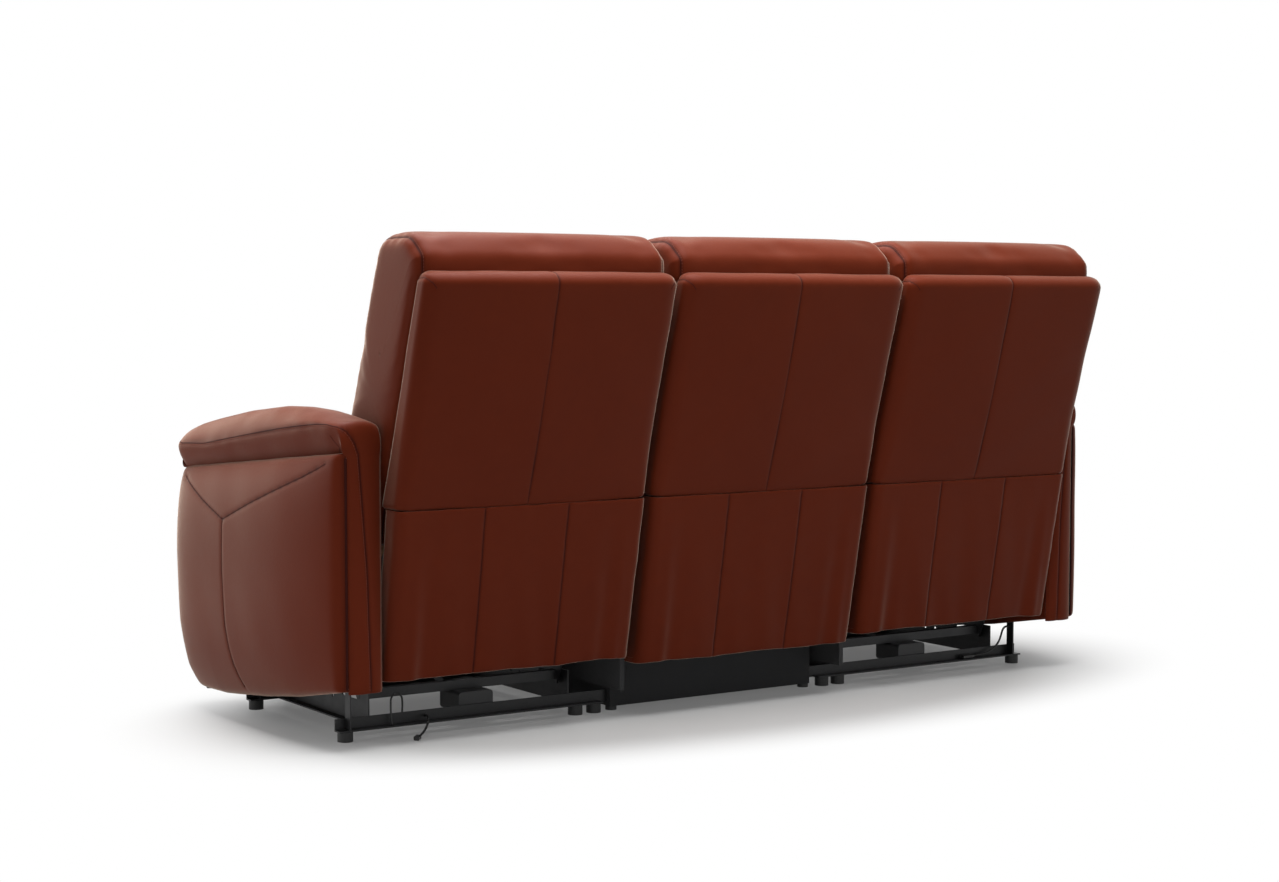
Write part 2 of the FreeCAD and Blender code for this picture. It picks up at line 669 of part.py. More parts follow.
glide_spots = [("box_half - 10", "box_rear - glide_radius"), ("box_half - 10", "-box_front + glide_radius + 4")]
feet = [rod(f"glide_{index}", (across, along, "0"), "z", "glide_radius", "box_low")
        for index, (across, along) in enumerate(glide_spots)]
for index, across in enumerate(("foot_outer", "foot_middle", "foot_inner")):
    for end, along in (("rear", "tube_rear"), ("front", "-tube_front")):
        if index == 1 and end == "front":
            continue
        feet.append(rod(f"{end}_foot_{index}", (across, along, "0"), "z", "foot_radius", "foot_tall"))
left_feet = group("left_feet", feet)
keep("floor_feet", group("floor_feet", [left_feet, mirrored("right_feet", left_feet)]))

rail_near = "mech_middle + mech_half - rail_wall / 2"
rail_rear = "tube_rear - bar_side / 2"
rail_front = "-tube_front - bar_side / 2 + bar_wall"
rail_low = "foot_tall + bar_wall"
rail_web = block("rail_web", (rail_near, rail_front, rail_low),
                 ("rail_wall", f"{rail_rear} - ({rail_front})", "rail_tall"))
rail_flange = block("rail_flange", (rail_near, rail_front, rail_low),
                    ("rail_foot", f"{rail_rear} - ({rail_front})", "rail_wall"))
rail_holes = []
reach = "(roller_radius + running_gap)"
for index, along in enumerate(("roller_rear", "-roller_front")):
    rail_holes.append(block(f"slot_middle_{index}", (f"{rail_near} - 1", f"{along} - slide_travel",
                                                     f"roller_level - {reach}"),
                            ("rail_wall + 2", "slide_travel", f"2 * {reach}")))
    rail_holes.append(rod(f"slot_rear_{index}", (f"{rail_near} - 1", along, "roller_level"), "x", reach,
                          "rail_wall + 2"))
    rail_holes.append(rod(f"slot_front_{index}", (f"{rail_near} - 1", f"{along} - slide_travel", "roller_level"),
                          "x", reach, "rail_wall + 2"))
for index in range(3):
    along = f"-rail_hole_start - {index} * rail_hole_step"
    rail_holes.append(rod(f"rail_hole_{index}", (f"{rail_near} - 1", along, "roller_level - 14"), "x", "rail_hole",
                          "rail_wall + 2"))
side_rail = cut("side_rail", joined("rail_plain", [rail_web, rail_flange]), rail_holes)
left_rails = both_sides("left_rails", side_rail)
keep("side_rails", group("side_rails", [left_rails, mirrored("right_rails", left_rails)]))


# Carriage: side plates on rollers, motor tube, seat frame and springs

plate_far = "plate_line + steel / 2"
plate_near = "plate_line - steel / 2"
plate_outline = [
    ("-lift_y - plate_lug", "frame_low - running_gap"),
    ("-lift_y - plate_lug", "lift_z - 22"),
    ("-lift_y + 8", "control_z - 30"),
    ("-roller_front - 30", "roller_level + 22"),
    ("-roller_front - plate_ear", "roller_level - plate_ear"),
    ("-roller_front + 18", "roller_level - plate_ear"),
    ("-roller_front + 70", "roller_level + 50"),
    ("roller_rear - 60", "roller_level + 50"),
    ("roller_rear - 20", "roller_level - plate_ear"),
    ("roller_rear + 16", "roller_level - plate_ear"),
    ("roller_rear + 36", "roller_level + 30"),
    ("hinge_y + 17", "hinge_z - 18"),
    ("hinge_y + 17", "hinge_z + 18"),
    ("hinge_y - 50", "frame_low - running_gap"),
]
side_plate = profile("side_plate", plate_outline, plate_near, "steel")
plate_flange = block("plate_flange", ("plate_line - rail_foot", "-lift_y - plate_lug", "frame_low - running_gap - 3"),
                     ("18", "lift_y + plate_lug + frame_rear", "3"))
rollers = [
    rod(f"roller_{index}", (plate_far, along, "roller_level"), "x", "roller_radius", "9")
    for index, along in enumerate(("roller_rear", "-roller_front"))
]
lift_stub = rod("lift_stub", (f"plate_line - 2 * layer - steel / 2 + running_gap", "-lift_y", "lift_z"),
                "x", "pin + 2", "2 * layer + steel / 2")
control_stub = rod("control_stub", ("plate_line - 4 * layer - steel / 2 - 1", "-control_y", "control_z"),
                   "x", "pin", "4 * layer + steel / 2")
PLATE_WINDOWS = (("-150", "frame_low - 115", "42"), ("-20", "frame_low - 115", "42"), ("95", "frame_low - 130", "34"))
plate_windows = [
    rod(f"plate_window_{index}", (f"{plate_near} - 1", along, level), "x", radius, "steel + 2")
    for index, (along, level, radius) in enumerate(PLATE_WINDOWS)
]
plain_plate = cut("plain_plate", side_plate, plate_windows)
one_plate = joined("one_plate", [plain_plate, plate_flange, lift_stub, control_stub] + rollers)
plate_pair = both_sides("plate_pair", one_plate)
outer_hinge = rod("outer_hinge", (plate_far, "hinge_y", "hinge_z"), "x", "pin + 3",
                  "seat_pitch + back_half - shell_wall - (plate_line + steel / 2)")
inner_hinge_start = "seat_pitch - back_half + shell_wall"
inner_hinge = rod("inner_hinge", (inner_hinge_start, "hinge_y", "hinge_z"), "x", "pin + 3",
                  f"mech_middle - mech_half + plate_inset - steel / 2 - ({inner_hinge_start})")
motor_tube = block("motor_tube", ("mech_middle - mech_half + plate_inset + steel / 2",
                                  "roller_rear - motor_bar / 2", "motor_high"),
                   ("2 * (mech_half - plate_inset) - steel", "motor_bar", "motor_bar"))
keep_pair("mechanism_plates", joined("left_mechanism_plates", [plate_pair, outer_hinge, inner_hinge, motor_tube]))


def seat_frame(name):
    """Four timber rails, the side rails between the front and the rear one."""
    deep = "frame_front + frame_rear - 2 * frame_wood"
    rails = [
        block(name + "_front", ("seat_pitch - frame_half", "-frame_front", "frame_low"),
              ("2 * frame_half", "frame_wood", "frame_rail")),
        block(name + "_rear", ("seat_pitch - frame_half", "frame_rear - frame_wood", "frame_low"),
              ("2 * frame_half", "frame_wood", "frame_rail")),
        block(name + "_outer", ("seat_pitch + frame_half - frame_wood", "-frame_front + frame_wood", "frame_low"),
              ("frame_wood", deep, "frame_rail")),
        block(name + "_inner", ("seat_pitch - frame_half", "-frame_front + frame_wood", "frame_low"),
              ("frame_wood", deep, "frame_rail")),
    ]
    return group(name, rails)


keep_pair("seat_frame", seat_frame("left_seat_frame"))

SPRINGS = 5
SPRING_BENDS = 12


def sinuous_spring(middle):
    """A zigzag of spring steel between the front and rear rail."""
    front = -size("frame_front - frame_wood - running_gap")
    rear = size("frame_rear - frame_wood - running_gap")
    level = size("frame_low + frame_rail - spring_depth")
    half = size("spring_half")
    wide = size("spring_wire")
    step = (rear - front) / SPRING_BENDS
    near = []
    far = []
    for index in range(SPRING_BENDS + 1):
        side = half if index % 2 else -half
        if index in (0, SPRING_BENDS):
            side = 0
        near.append(Vector(middle + side - wide, front + index * step, level))
        far.append(Vector(middle + side + wide, front + index * step, level))
    outline = Part.makePolygon(near + far[::-1] + near[:1])
    return Part.Face(outline).extrude(Vector(0, 0, wide))


spring_step = size("2 * frame_half - 2 * frame_wood") / SPRINGS
springs = [
    sinuous_spring(left + (index - (SPRINGS - 1) / 2) * spring_step) for index in range(SPRINGS)
]
keep_pair("seat_springs", solid("left_seat_springs", Part.makeCompound(springs)))


# Footrest linkage. Each link is drawn from its first pivot along +Y, then turned about X into place.

def link(name, layers, pivot, angle, holes, end, start=0.0, width="link_wide"):
    """A bar with round ends and a hole at each pivot; layers count inwards from the carriage plate."""
    across = size(f"plate_line - {layers} * layer - steel / 2")
    steel = size("steel")
    half = size(width) / 2
    shape = Part.makeBox(steel, end - start, 2 * half, Vector(0, start, -half))
    shape = shape.fuse(Part.makeCylinder(half, steel, Vector(0, start, 0), Vector(1, 0, 0)))
    shape = shape.fuse(Part.makeCylinder(half, steel, Vector(0, end, 0), Vector(1, 0, 0)))
    for along, radius in holes:
        if radius + 5 > half:
            shape = shape.fuse(Part.makeCylinder(radius + 5, steel, Vector(0, along, 0), Vector(1, 0, 0)))
    for along, radius in holes:
        shape = shape.cut(Part.makeCylinder(radius, steel + 2, Vector(-1, along, 0), Vector(1, 0, 0)))
    shape = shape.removeSplitter()
    shape.rotate(Vector(), Vector(1, 0, 0), 180 - angle)
    shape.translate(Vector(across, -pivot[0], pivot[1]))
    return shape


def step_from(pivot, length, angle):
    """The point at a distance and angle from a pivot, as forward distance and height."""
    turn = math.radians(angle)
    return (pivot[0] + length * math.cos(turn), pivot[1] + length * math.sin(turn))


def rivet(pivot, first, last, radius):
    """A pin across the layers, from one depth to another."""
    far = size("plate_line") - first
    near = size("plate_line") - last
    return Part.makeCylinder(radius, far - near, Vector(near, -pivot[0], pivot[1]), Vector(1, 0, 0))


layer = size("layer")
steel = size("steel")
pin = size("pin")
hole = size("pin + pin_gap")
lift_angle = size("lift_angle")
link_angle = size("link_angle")
lift_pivot = (size("lift_y"), size("lift_z"))
lift_length = size("lift_length")
link_length = size("link_length")
link_step = size("link_step")
long_pivot = step_from(lift_pivot, lift_length, lift_angle)
short_pivot = step_from(lift_pivot, lift_length - link_step, lift_angle)
foot_pivot = step_from(long_pivot, link_length, link_angle)
rear_foot_pivot = step_from(foot_pivot, -link_step, lift_angle)
tail_pivot = step_from(long_pivot, -size("tail"), link_angle)


def twins(shape):
    """A shape of the outer linkage and its twin about the mechanism's middle plane."""
    return [shape, shape.mirror(Vector(size("mech_middle"), 0, 0), Vector(1, 0, 0))]


# Lift arms, one piece with their torque tube and the slotted drive arms
lift_bar = link("lift", 2, lift_pivot, lift_angle, [(0, pin + 2 + size("pin_gap"))], lift_length)
lift_bar = lift_bar.fuse(rivet(long_pivot, 2 * layer, 3 * layer + steel / 2 + 0.5, pin))
lift_bar = lift_bar.fuse(rivet(short_pivot, layer - steel / 2 - 0.5, 2 * layer, pin))
tube_reach = size("mech_half - plate_inset") - 2 * layer - steel / 2
torque_tube = Part.makeCylinder(size("torque_radius"), 2 * tube_reach,
                                Vector(size("mech_middle") - tube_reach, -lift_pivot[0], lift_pivot[1]),
                                Vector(1, 0, 0))
drive_radius = size("drive_radius")
drive_near = drive_radius * math.cos(math.radians(size("drive_swing")))
drive_closed = size("drive_slope") - 90 - size("drive_swing")


def drive_arm(across):
    """A cheek with a radial slot for the block's pin, along +Y before it is turned."""
    round_half = size("drive_cheek")
    thick = size("cheek_steel")
    cheek = Part.makeBox(thick, drive_radius, 2 * round_half, Vector(0, 0, -round_half))
    cheek = cheek.fuse(Part.makeCylinder(round_half, thick, Vector(0, drive_radius, 0), Vector(1, 0, 0)))
    cheek = cheek.fuse(Part.makeCylinder(round_half, thick, Vector(), Vector(1, 0, 0)))
    half = size("drive_pin + drive_play")
    slot = Part.makeBox(thick + 2, drive_radius - drive_near, 2 * half, Vector(-1, drive_near, -half))
    slot = slot.fuse(Part.makeCylinder(half, thick + 2, Vector(-1, drive_near, 0), Vector(1, 0, 0)))
    slot = slot.fuse(Part.makeCylinder(half, thick + 2, Vector(-1, drive_radius, 0), Vector(1, 0, 0)))
    cheek = cheek.cut(slot)
    cheek.rotate(Vector(), Vector(1, 0, 0), 180 - drive_closed)
    cheek.translate(Vector(across, -lift_pivot[0], lift_pivot[1]))
    return cheek


block_half = size("block_wide") / 2
cheek_gap = 1.5
cheeks = [drive_arm(left + block_half + cheek_gap), drive_arm(left - block_half - cheek_gap - size("cheek_steel"))]
lift_shape = torque_tube.multiFuse(twins(lift_bar) + cheeks).removeSplitter()
keep_pair("lift_arms", solid("left_lift_arms", lift_shape))

# Long links, with the pins of the footrest bracket and of the control link
long_bar = link("long", 3, long_pivot, link_angle, [(0, hole)], link_length, -size("tail"))
long_bar = long_bar.fuse(rivet(foot_pivot, 3 * layer, 4 * layer + steel / 2 + 0.5, pin))
long_bar = long_bar.fuse(rivet(tail_pivot, 3 * layer, 4 * layer + steel / 2 + 0.5, pin))
keep_pair("long_links", solid("left_long_links", Part.makeCompound(twins(long_bar))))

# Short links, outside the lift arms
short_bar = link("short", 1, short_pivot, link_angle, [(0, hole), (link_length, hole)], link_length)
keep_pair("short_links", solid("left_short_links", Part.makeCompound(twins(short_bar))))

# Control links, with a wide eye at the long link's tail
control_pivot = (size("control_y"), size("control_z"))
control_holes = [(0, hole), (size("control_length"), pin + size("control_play"))]
control_bar = link("control", 4, control_pivot, size("control_angle"), control_holes, size("control_length"))
keep_pair("control_links", solid("left_control_links", Part.makeCompound(twins(control_bar))))

# Footrest brackets: a pivoted plate and a flange on the back of the pad
bracket_bar = link("bracket", 4, rear_foot_pivot, lift_angle, [(link_step, hole)], link_step)
bracket_near = size("plate_line - 4 * layer - steel / 2")
pad_back = size("footrest_back - running_gap")
web_spots = [
    (rear_foot_pivot[0], rear_foot_pivot[1] + 6),
    (pad_back, rear_foot_pivot[1] - 30),
    (pad_back, foot_pivot[1] - 130),
    (pad_back - 26, foot_pivot[1] - 130),
    (foot_pivot[0] + 9, foot_pivot[1] - 6),
    (foot_pivot[0] + 9, foot_pivot[1] + 9),
]
web_points = [Vector(bracket_near, -forward, level) for forward, level in web_spots]
web = Part.Face(Part.makePolygon(web_points + web_points[:1])).extrude(Vector(steel, 0, 0))
flange_low = foot_pivot[1] - 130
flange_high = rear_foot_pivot[1] - 30
flange = Part.makeBox(22, 3, flange_high - flange_low, Vector(bracket_near - 22 + steel, -pad_back, flange_low))
bracket_shape = bracket_bar.multiFuse([web, flange, rivet(rear_foot_pivot, layer - steel / 2 - 0.5, 4 * layer, pin)])
bracket_hole = Part.makeCylinder(hole, steel + 2, Vector(bracket_near - 1, -foot_pivot[0], foot_pivot[1]),
                                 Vector(1, 0, 0))
bracket_shape = bracket_shape.cut(bracket_hole).removeSplitter()
keep_pair("footrest_brackets", solid("left_footrest_brackets", Part.makeCompound(twins(bracket_shape))))


def footrest_wire(across, draw):
    """The pad's side section: flat against its board, crowned in front."""
    back = -size("footrest_back")
    front = back - size("footrest_thick") + draw
    low = size("footrest_low") + 0.5 * draw
    high = size("footrest_high") - 0.5 * draw
    p = [Vector(across, y, z) for y, z in (
        (back, low + 12), (back, high - 12), (back - 18, high), (front + 8, high - 16), (front, (low + high) / 2),
        (front + 8, low + 16), (back - 18, low))]
    return Part.Wire([line(p[0], p[1]), line(p[1], p[2]), line(p[2], p[3]), arc(p[3], p[4], p[5]),
                      line(p[5], p[6]), line(p[6], p[0])])


def footrest_form(middle):
    stations = crowned(size("footrest_half"), size("footrest_draw"))
    return loft([footrest_wire(middle + across, draw) for across, draw in stations])


keep_pair("footrest_pad", solid("left_footrest_pad", footrest_form(left)))


# Linear drive: motor housing and track, and the block that runs on the track

slope = math.radians(size("drive_slope"))
pin_closed = step_from(lift_pivot, drive_radius, drive_closed)


def on_track(shape, ahead):
    """Turns a shape drawn along +Y onto the track's line, so many millimetres ahead of the closed pin."""
    shape.rotate(Vector(), Vector(1, 0, 0), 180 - size("drive_slope"))
    forward, level = step_from(pin_closed, ahead, size("drive_slope"))
    shape.translate(Vector(left, -forward, level))
    return shape


track_wide = size("track_wide")
track_tall = size("track_tall")
motor_y = size("tube_rear - bar_side / 2") - 1
track_end = 2 * drive_radius * math.sin(math.radians(size("drive_swing"))) + size("block_long") / 2 + 6
track_rear = motor_y - size("motor_long - track_root")
track_back = (pin_closed[0] + track_rear) / math.cos(slope)
track = on_track(Part.makeBox(track_wide, track_end + track_back, track_tall,
                              Vector(-track_wide / 2, 0, -track_tall / 2)), -track_back)
motor = Part.makeBox(size("motor_wide"), size("motor_long"), size("motor_high - motor_low"),
                     Vector(left - size("motor_wide") / 2, motor_y - size("motor_long"), size("motor_low")))
long_edges = [edge for edge in motor.Edges if abs(edge.tangentAt(edge.FirstParameter).y) > 0.9]
motor = motor.makeFillet(size("motor_round"), long_edges)
keep_pair("actuator", solid("left_actuator", motor.fuse(track).removeSplitter()))

sleeve = Part.makeBox(2 * block_half, size("block_long"), size("block_tall"),
                      Vector(-block_half, -size("block_long") / 2, -size("block_tall") / 2))
bore = Part.makeBox(track_wide + 1, size("block_long") + 2, track_tall + 1,
                    Vector(-track_wide / 2 - 0.5, -size("block_long") / 2 - 1, -track_tall / 2 - 0.5))
pin_long = cheek_gap + size("cheek_steel") + 1.5
pins = [Part.makeCylinder(size("drive_pin"), pin_long, Vector(start, 0, 0), Vector(1, 0, 0)) for start in
        (block_half, -block_half - pin_long)]
keep_pair("drive_block", solid("left_drive_block", on_track(sleeve.cut(bore).multiFuse(pins), 0)))


# Back brackets: steel uprights from the hinge up into the back shell

bracket_line = [
    ("hinge_y - 16", "hinge_z - 14"),
    ("hinge_y + 14", "hinge_z - 18"),
    ("seam_rear - 36", "seam_level - 70"),
    ("seam_rear + 8", "seam_level + 110"),
    ("seam_rear - 18", "seam_level + 120"),
    ("seam_rear - 62", "seam_level - 50"),
    ("hinge_y - 16", "hinge_z + 16"),
]
bracket_start = "seat_pitch + back_half - shell_wall - bracket_steel"
outer_upright = cut("outer_upright", profile("upright_plain", bracket_line, bracket_start, "bracket_steel"), [
    rod("upright_hole", (f"{bracket_start} - 1", "hinge_y", "hinge_z"), "x", "pin + 3 + pin_gap",
        "bracket_steel + 2")])
keep_pair("back_brackets", group("left_back_brackets",
                                 [outer_upright, mirrored("inner_upright", outer_upright, "seat_pitch")]))


# Middle seat: cloth-wrapped base box with its side boards, the uprights of its back, glides and front panel

box_height = "frame_low + frame_rail - box_low"
box_walls = [
    block("box_bottom", ("-box_half", "-box_front", "box_low"), ("2 * box_half", "box_front + box_rear", "box_board")),
    block("box_top", ("-box_half", "-box_front", "frame_low + frame_rail - box_board"),
          ("2 * box_half", "box_front + box_rear", "box_board")),
    block("box_rear_wall", ("-box_half", "box_rear - box_board", "box_low + box_board"),
          ("2 * box_half", "box_board", f"{box_height} - 2 * box_board")),
    block("box_front_wall", ("-box_half", "-box_front", "box_low + box_board"),
          ("2 * box_half", "box_board", f"{box_height} - 2 * box_board")),
    block("box_left_wall", ("box_half - box_board", "-box_front + box_board", "box_low + box_board"),
          ("box_board", "box_front + box_rear - 2 * box_board", f"{box_height} - 2 * box_board")),
    block("box_right_wall", ("-box_half", "-box_front + box_board", "box_low + box_board"),
          ("box_board", "box_front + box_rear - 2 * box_board", f"{box_height} - 2 * box_board")),
]
middle_upright = profile("middle_upright", [
    ("box_rear + running_gap", "frame_low - 50"),
    ("box_rear + 86", "frame_low - 50"),
    ("seam_rear - 25", "seam_level - 52"),
    ("seam_rear + 8", "seam_level + 110"),
    ("seam_rear - 14", "seam_level + 120"),
    ("seam_rear - 68", "seam_level - 42"),
    ("box_rear + 98", "cushion_low - 10"),
    ("box_rear + running_gap", "cushion_low - 18"),
], "back_half - shell_wall - box_board", "box_board")
side_spacer = "side_board_near - box_half"
left_board = joined("left_board", [
    block("left_board_panel", ("side_board_near", "-box_front + side_board_set", "side_board_low"),
          ("side_board", "box_front - side_board_set + side_board_rear", "frame_low - side_board_low")),
    block("left_board_spacer", ("box_half", "-spacer_long / 2 - 50", "side_board_low + 140"),
          (side_spacer, "spacer_long", "40")),
])
box_sides = [
    left_board,
    mirrored("right_board", left_board),
    middle_upright,
    mirrored("right_middle_upright", middle_upright),
]
keep("centre_base_box", group("centre_base_box", box_walls + box_sides))


# The fixed leather panel below the middle seat, in line with the footrests
front_form = footrest_form(0)
front_form.translate(Vector(0, size("footrest_back - box_front - running_gap"), 0))
keep("centre_front_panel", solid("centre_front_panel", front_form))


# Leads and the cable loop: straight runs joined by tangent arcs

def lead(name, points, radius):
    """A round lead along a route of points; each corner's arc is as large as its two runs allow."""
    route = [Vector(*point) for point in points]
    edges = []
    start = route[0]
    for index in range(1, len(route) - 1):
        before = (route[index - 1] - route[index])
        after = (route[index + 1] - route[index])
        run = min(before.Length, after.Length)
        before.normalize()
        after.normalize()
        turn = math.pi - before.getAngle(after)
        reach = 0.45 * run
        bend = reach / math.tan(turn / 2)
        print(f"{name}: corner {index} turns {math.degrees(turn):.0f} degrees with radius {bend:.1f} mm")
        first = route[index] + before * reach
        last = route[index] + after * reach
        towards = before + after
        towards.normalize()
        middle = route[index] + towards * (math.hypot(bend, reach) - bend)
        edges.append(line(start, first))
        edges.append(arc(first, middle, last))
        start = last
    edges.append(line(start, route[-1]))
    path = Part.Wire(edges)
    ring = Part.Wire(Part.makeCircle(radius, route[0], route[1] - route[0]))
    shell = path.makePipeShell([ring], True, False)
    section = math.pi * radius * radius
    fullness = shell.Volume / section / path.Length
    print(f"{name}: length {path.Length:.1f} mm, volume over section and length {fullness:.4f}")
    return shell


lead_radius = size("lead_radius")
LEFT_LEAD = [(722, 149.8, 33), (724, 162, 33.5), (729, 175, 30), (738, 188, 22.5), (751, 201, 14), (766, 214, 7.5),
             (780, 227, 6.4)]
RIGHT_LEAD = [(-903.7, 160, 92), (-890, 160.5, 93), (-880, 161, 86), (-875, 161.5, 73), (-868, 161.5, 57),
              (-854, 161.5, 43), (-834, 161, 33), (-808, 160.5, 28.5), (-782, 160, 28.2)]
CABLE_LOOP = [(806, 161, 23.3), (808, 159.5, 41), (807.5, 157, 60), (806, 155, 77.8), (797.8, 153.5, 86),
              (786.2, 152, 86), (778, 150.5, 77.8), (776, 149, 60), (776.5, 148, 45.3)]
keep("left_lead", solid("left_lead", lead("left_lead", LEFT_LEAD, lead_radius)))
keep("right_lead", solid("right_lead", lead("right_lead", RIGHT_LEAD, lead_radius)))
keep("cable_loop", solid("cable_loop", lead("cable_loop", CABLE_LOOP, size("loop_radius"))))


def connector(tip, back, wide, tall, length):
    """A small moulded connector, its rear face on the end of a lead."""
    axis = (tip - back).normalize()
    shape = Part.makeBox(wide, tall, length, Vector(-wide / 2, -tall / 2, 0))
    shape = shape.makeFillet(min(wide, tall) * 0.3, [edge for edge in shape.Edges if edge.Length == length])
    side = axis.cross(Vector(0, 0, 1))
    shape.Placement = Placement(tip, Rotation(side, side.cross(axis), axis, "ZXY"))
    return shape


left_tip = Vector(*LEFT_LEAD[-1])
keep("left_connector", solid("left_connector", connector(left_tip, Vector(*LEFT_LEAD[-2]), 12, 9, 14)))
right_tip = Vector(*RIGHT_LEAD[-1])
keep("right_connector", solid("right_connector", connector(right_tip, Vector(*RIGHT_LEAD[-2]), 16, 9, 34)))


# Checks on every object, then one STEP file for each node

doc.recompute()
broken = [piece.Name for piece in doc.Objects if "Invalid" in piece.State or "Error" in piece.State]
if broken:
    raise RuntimeError(f"these objects failed: {broken}")
for piece in nodes:
    if piece.Shape.isNull() or not piece.Shape.isValid() or not piece.Shape.Solids:
        raise RuntimeError(f"{piece.Label} has no valid solid")
os.makedirs("parts", exist_ok=True)
for piece in nodes:
    piece.Shape.exportStep(os.path.join("parts", piece.Label + ".step"))
whole = FreeCAD.BoundBox()
for piece in nodes:
    whole.add(piece.Shape.BoundBox)
print(f"{len(nodes)} nodes, box {whole}")
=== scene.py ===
import logging
import math
from dataclasses import dataclass, field
from enum import Enum
from typing import Iterable, Mapping, Sequence

import bmesh
import bpy
import numpy as np
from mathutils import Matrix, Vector
from mathutils.bvhtree import BVHTree


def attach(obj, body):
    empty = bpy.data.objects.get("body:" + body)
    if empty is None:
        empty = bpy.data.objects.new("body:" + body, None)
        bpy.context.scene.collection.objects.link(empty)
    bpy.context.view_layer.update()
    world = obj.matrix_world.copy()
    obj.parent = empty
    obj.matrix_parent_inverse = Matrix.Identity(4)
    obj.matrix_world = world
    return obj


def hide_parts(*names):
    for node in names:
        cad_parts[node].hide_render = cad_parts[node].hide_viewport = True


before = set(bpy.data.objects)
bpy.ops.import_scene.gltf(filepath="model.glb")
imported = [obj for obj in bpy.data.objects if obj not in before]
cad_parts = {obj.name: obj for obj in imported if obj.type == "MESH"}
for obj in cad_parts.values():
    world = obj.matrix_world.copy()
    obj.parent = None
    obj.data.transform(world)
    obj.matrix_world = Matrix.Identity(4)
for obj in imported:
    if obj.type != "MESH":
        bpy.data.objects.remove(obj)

log = logging.getLogger("sofa")
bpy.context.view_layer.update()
TINY = 1e-9
FINEST = 1e-12
Colour = tuple[float, float, float]
Point = tuple[float, float, float]


class Side(Enum):
    """The two ends of the sofa, with the sign of their X."""

    LEFT = 1
    RIGHT = -1

    @property
    def word(self) -> str:
        """The side's name, as the nodes and bodies begin."""
        return self.name.lower()


# Shader maths

class Signal:
    """A shader socket that takes part in Python expressions."""

    def __init__(self, recipe: "Recipe", socket: bpy.types.NodeSocket) -> None:
        """Keeps the socket and the recipe that its nodes go into."""
        self.recipe = recipe
        self.socket = socket

    def maths(self, operation: str, first: object, second: object) -> "Signal":
        """Adds one node of arithmetic, for numbers or for colours and vectors.

        Args:
            operation: the Math or Vector Math operation.
            first: the left operand, a signal or a number.
            second: the right operand, a signal or a number.

        Returns:
            The node's result.
        """
        flat = self.socket.type == "VALUE"
        kind = "ShaderNodeMath" if flat else "ShaderNodeVectorMath"
        node = self.recipe.node(kind, {"operation": operation}, {0: first, 1: second})
        return Signal(self.recipe, node.outputs[0])

    def __add__(self, other: object) -> "Signal":
        """Adds."""
        return self.maths("ADD", self, other)

    __radd__ = __add__

    def __mul__(self, other: object) -> "Signal":
        """Multiplies."""
        return self.maths("MULTIPLY", self, other)

    __rmul__ = __mul__

    def __pow__(self, other: object) -> "Signal":
        """Raises to a power."""
        return self.maths("POWER", self, other)


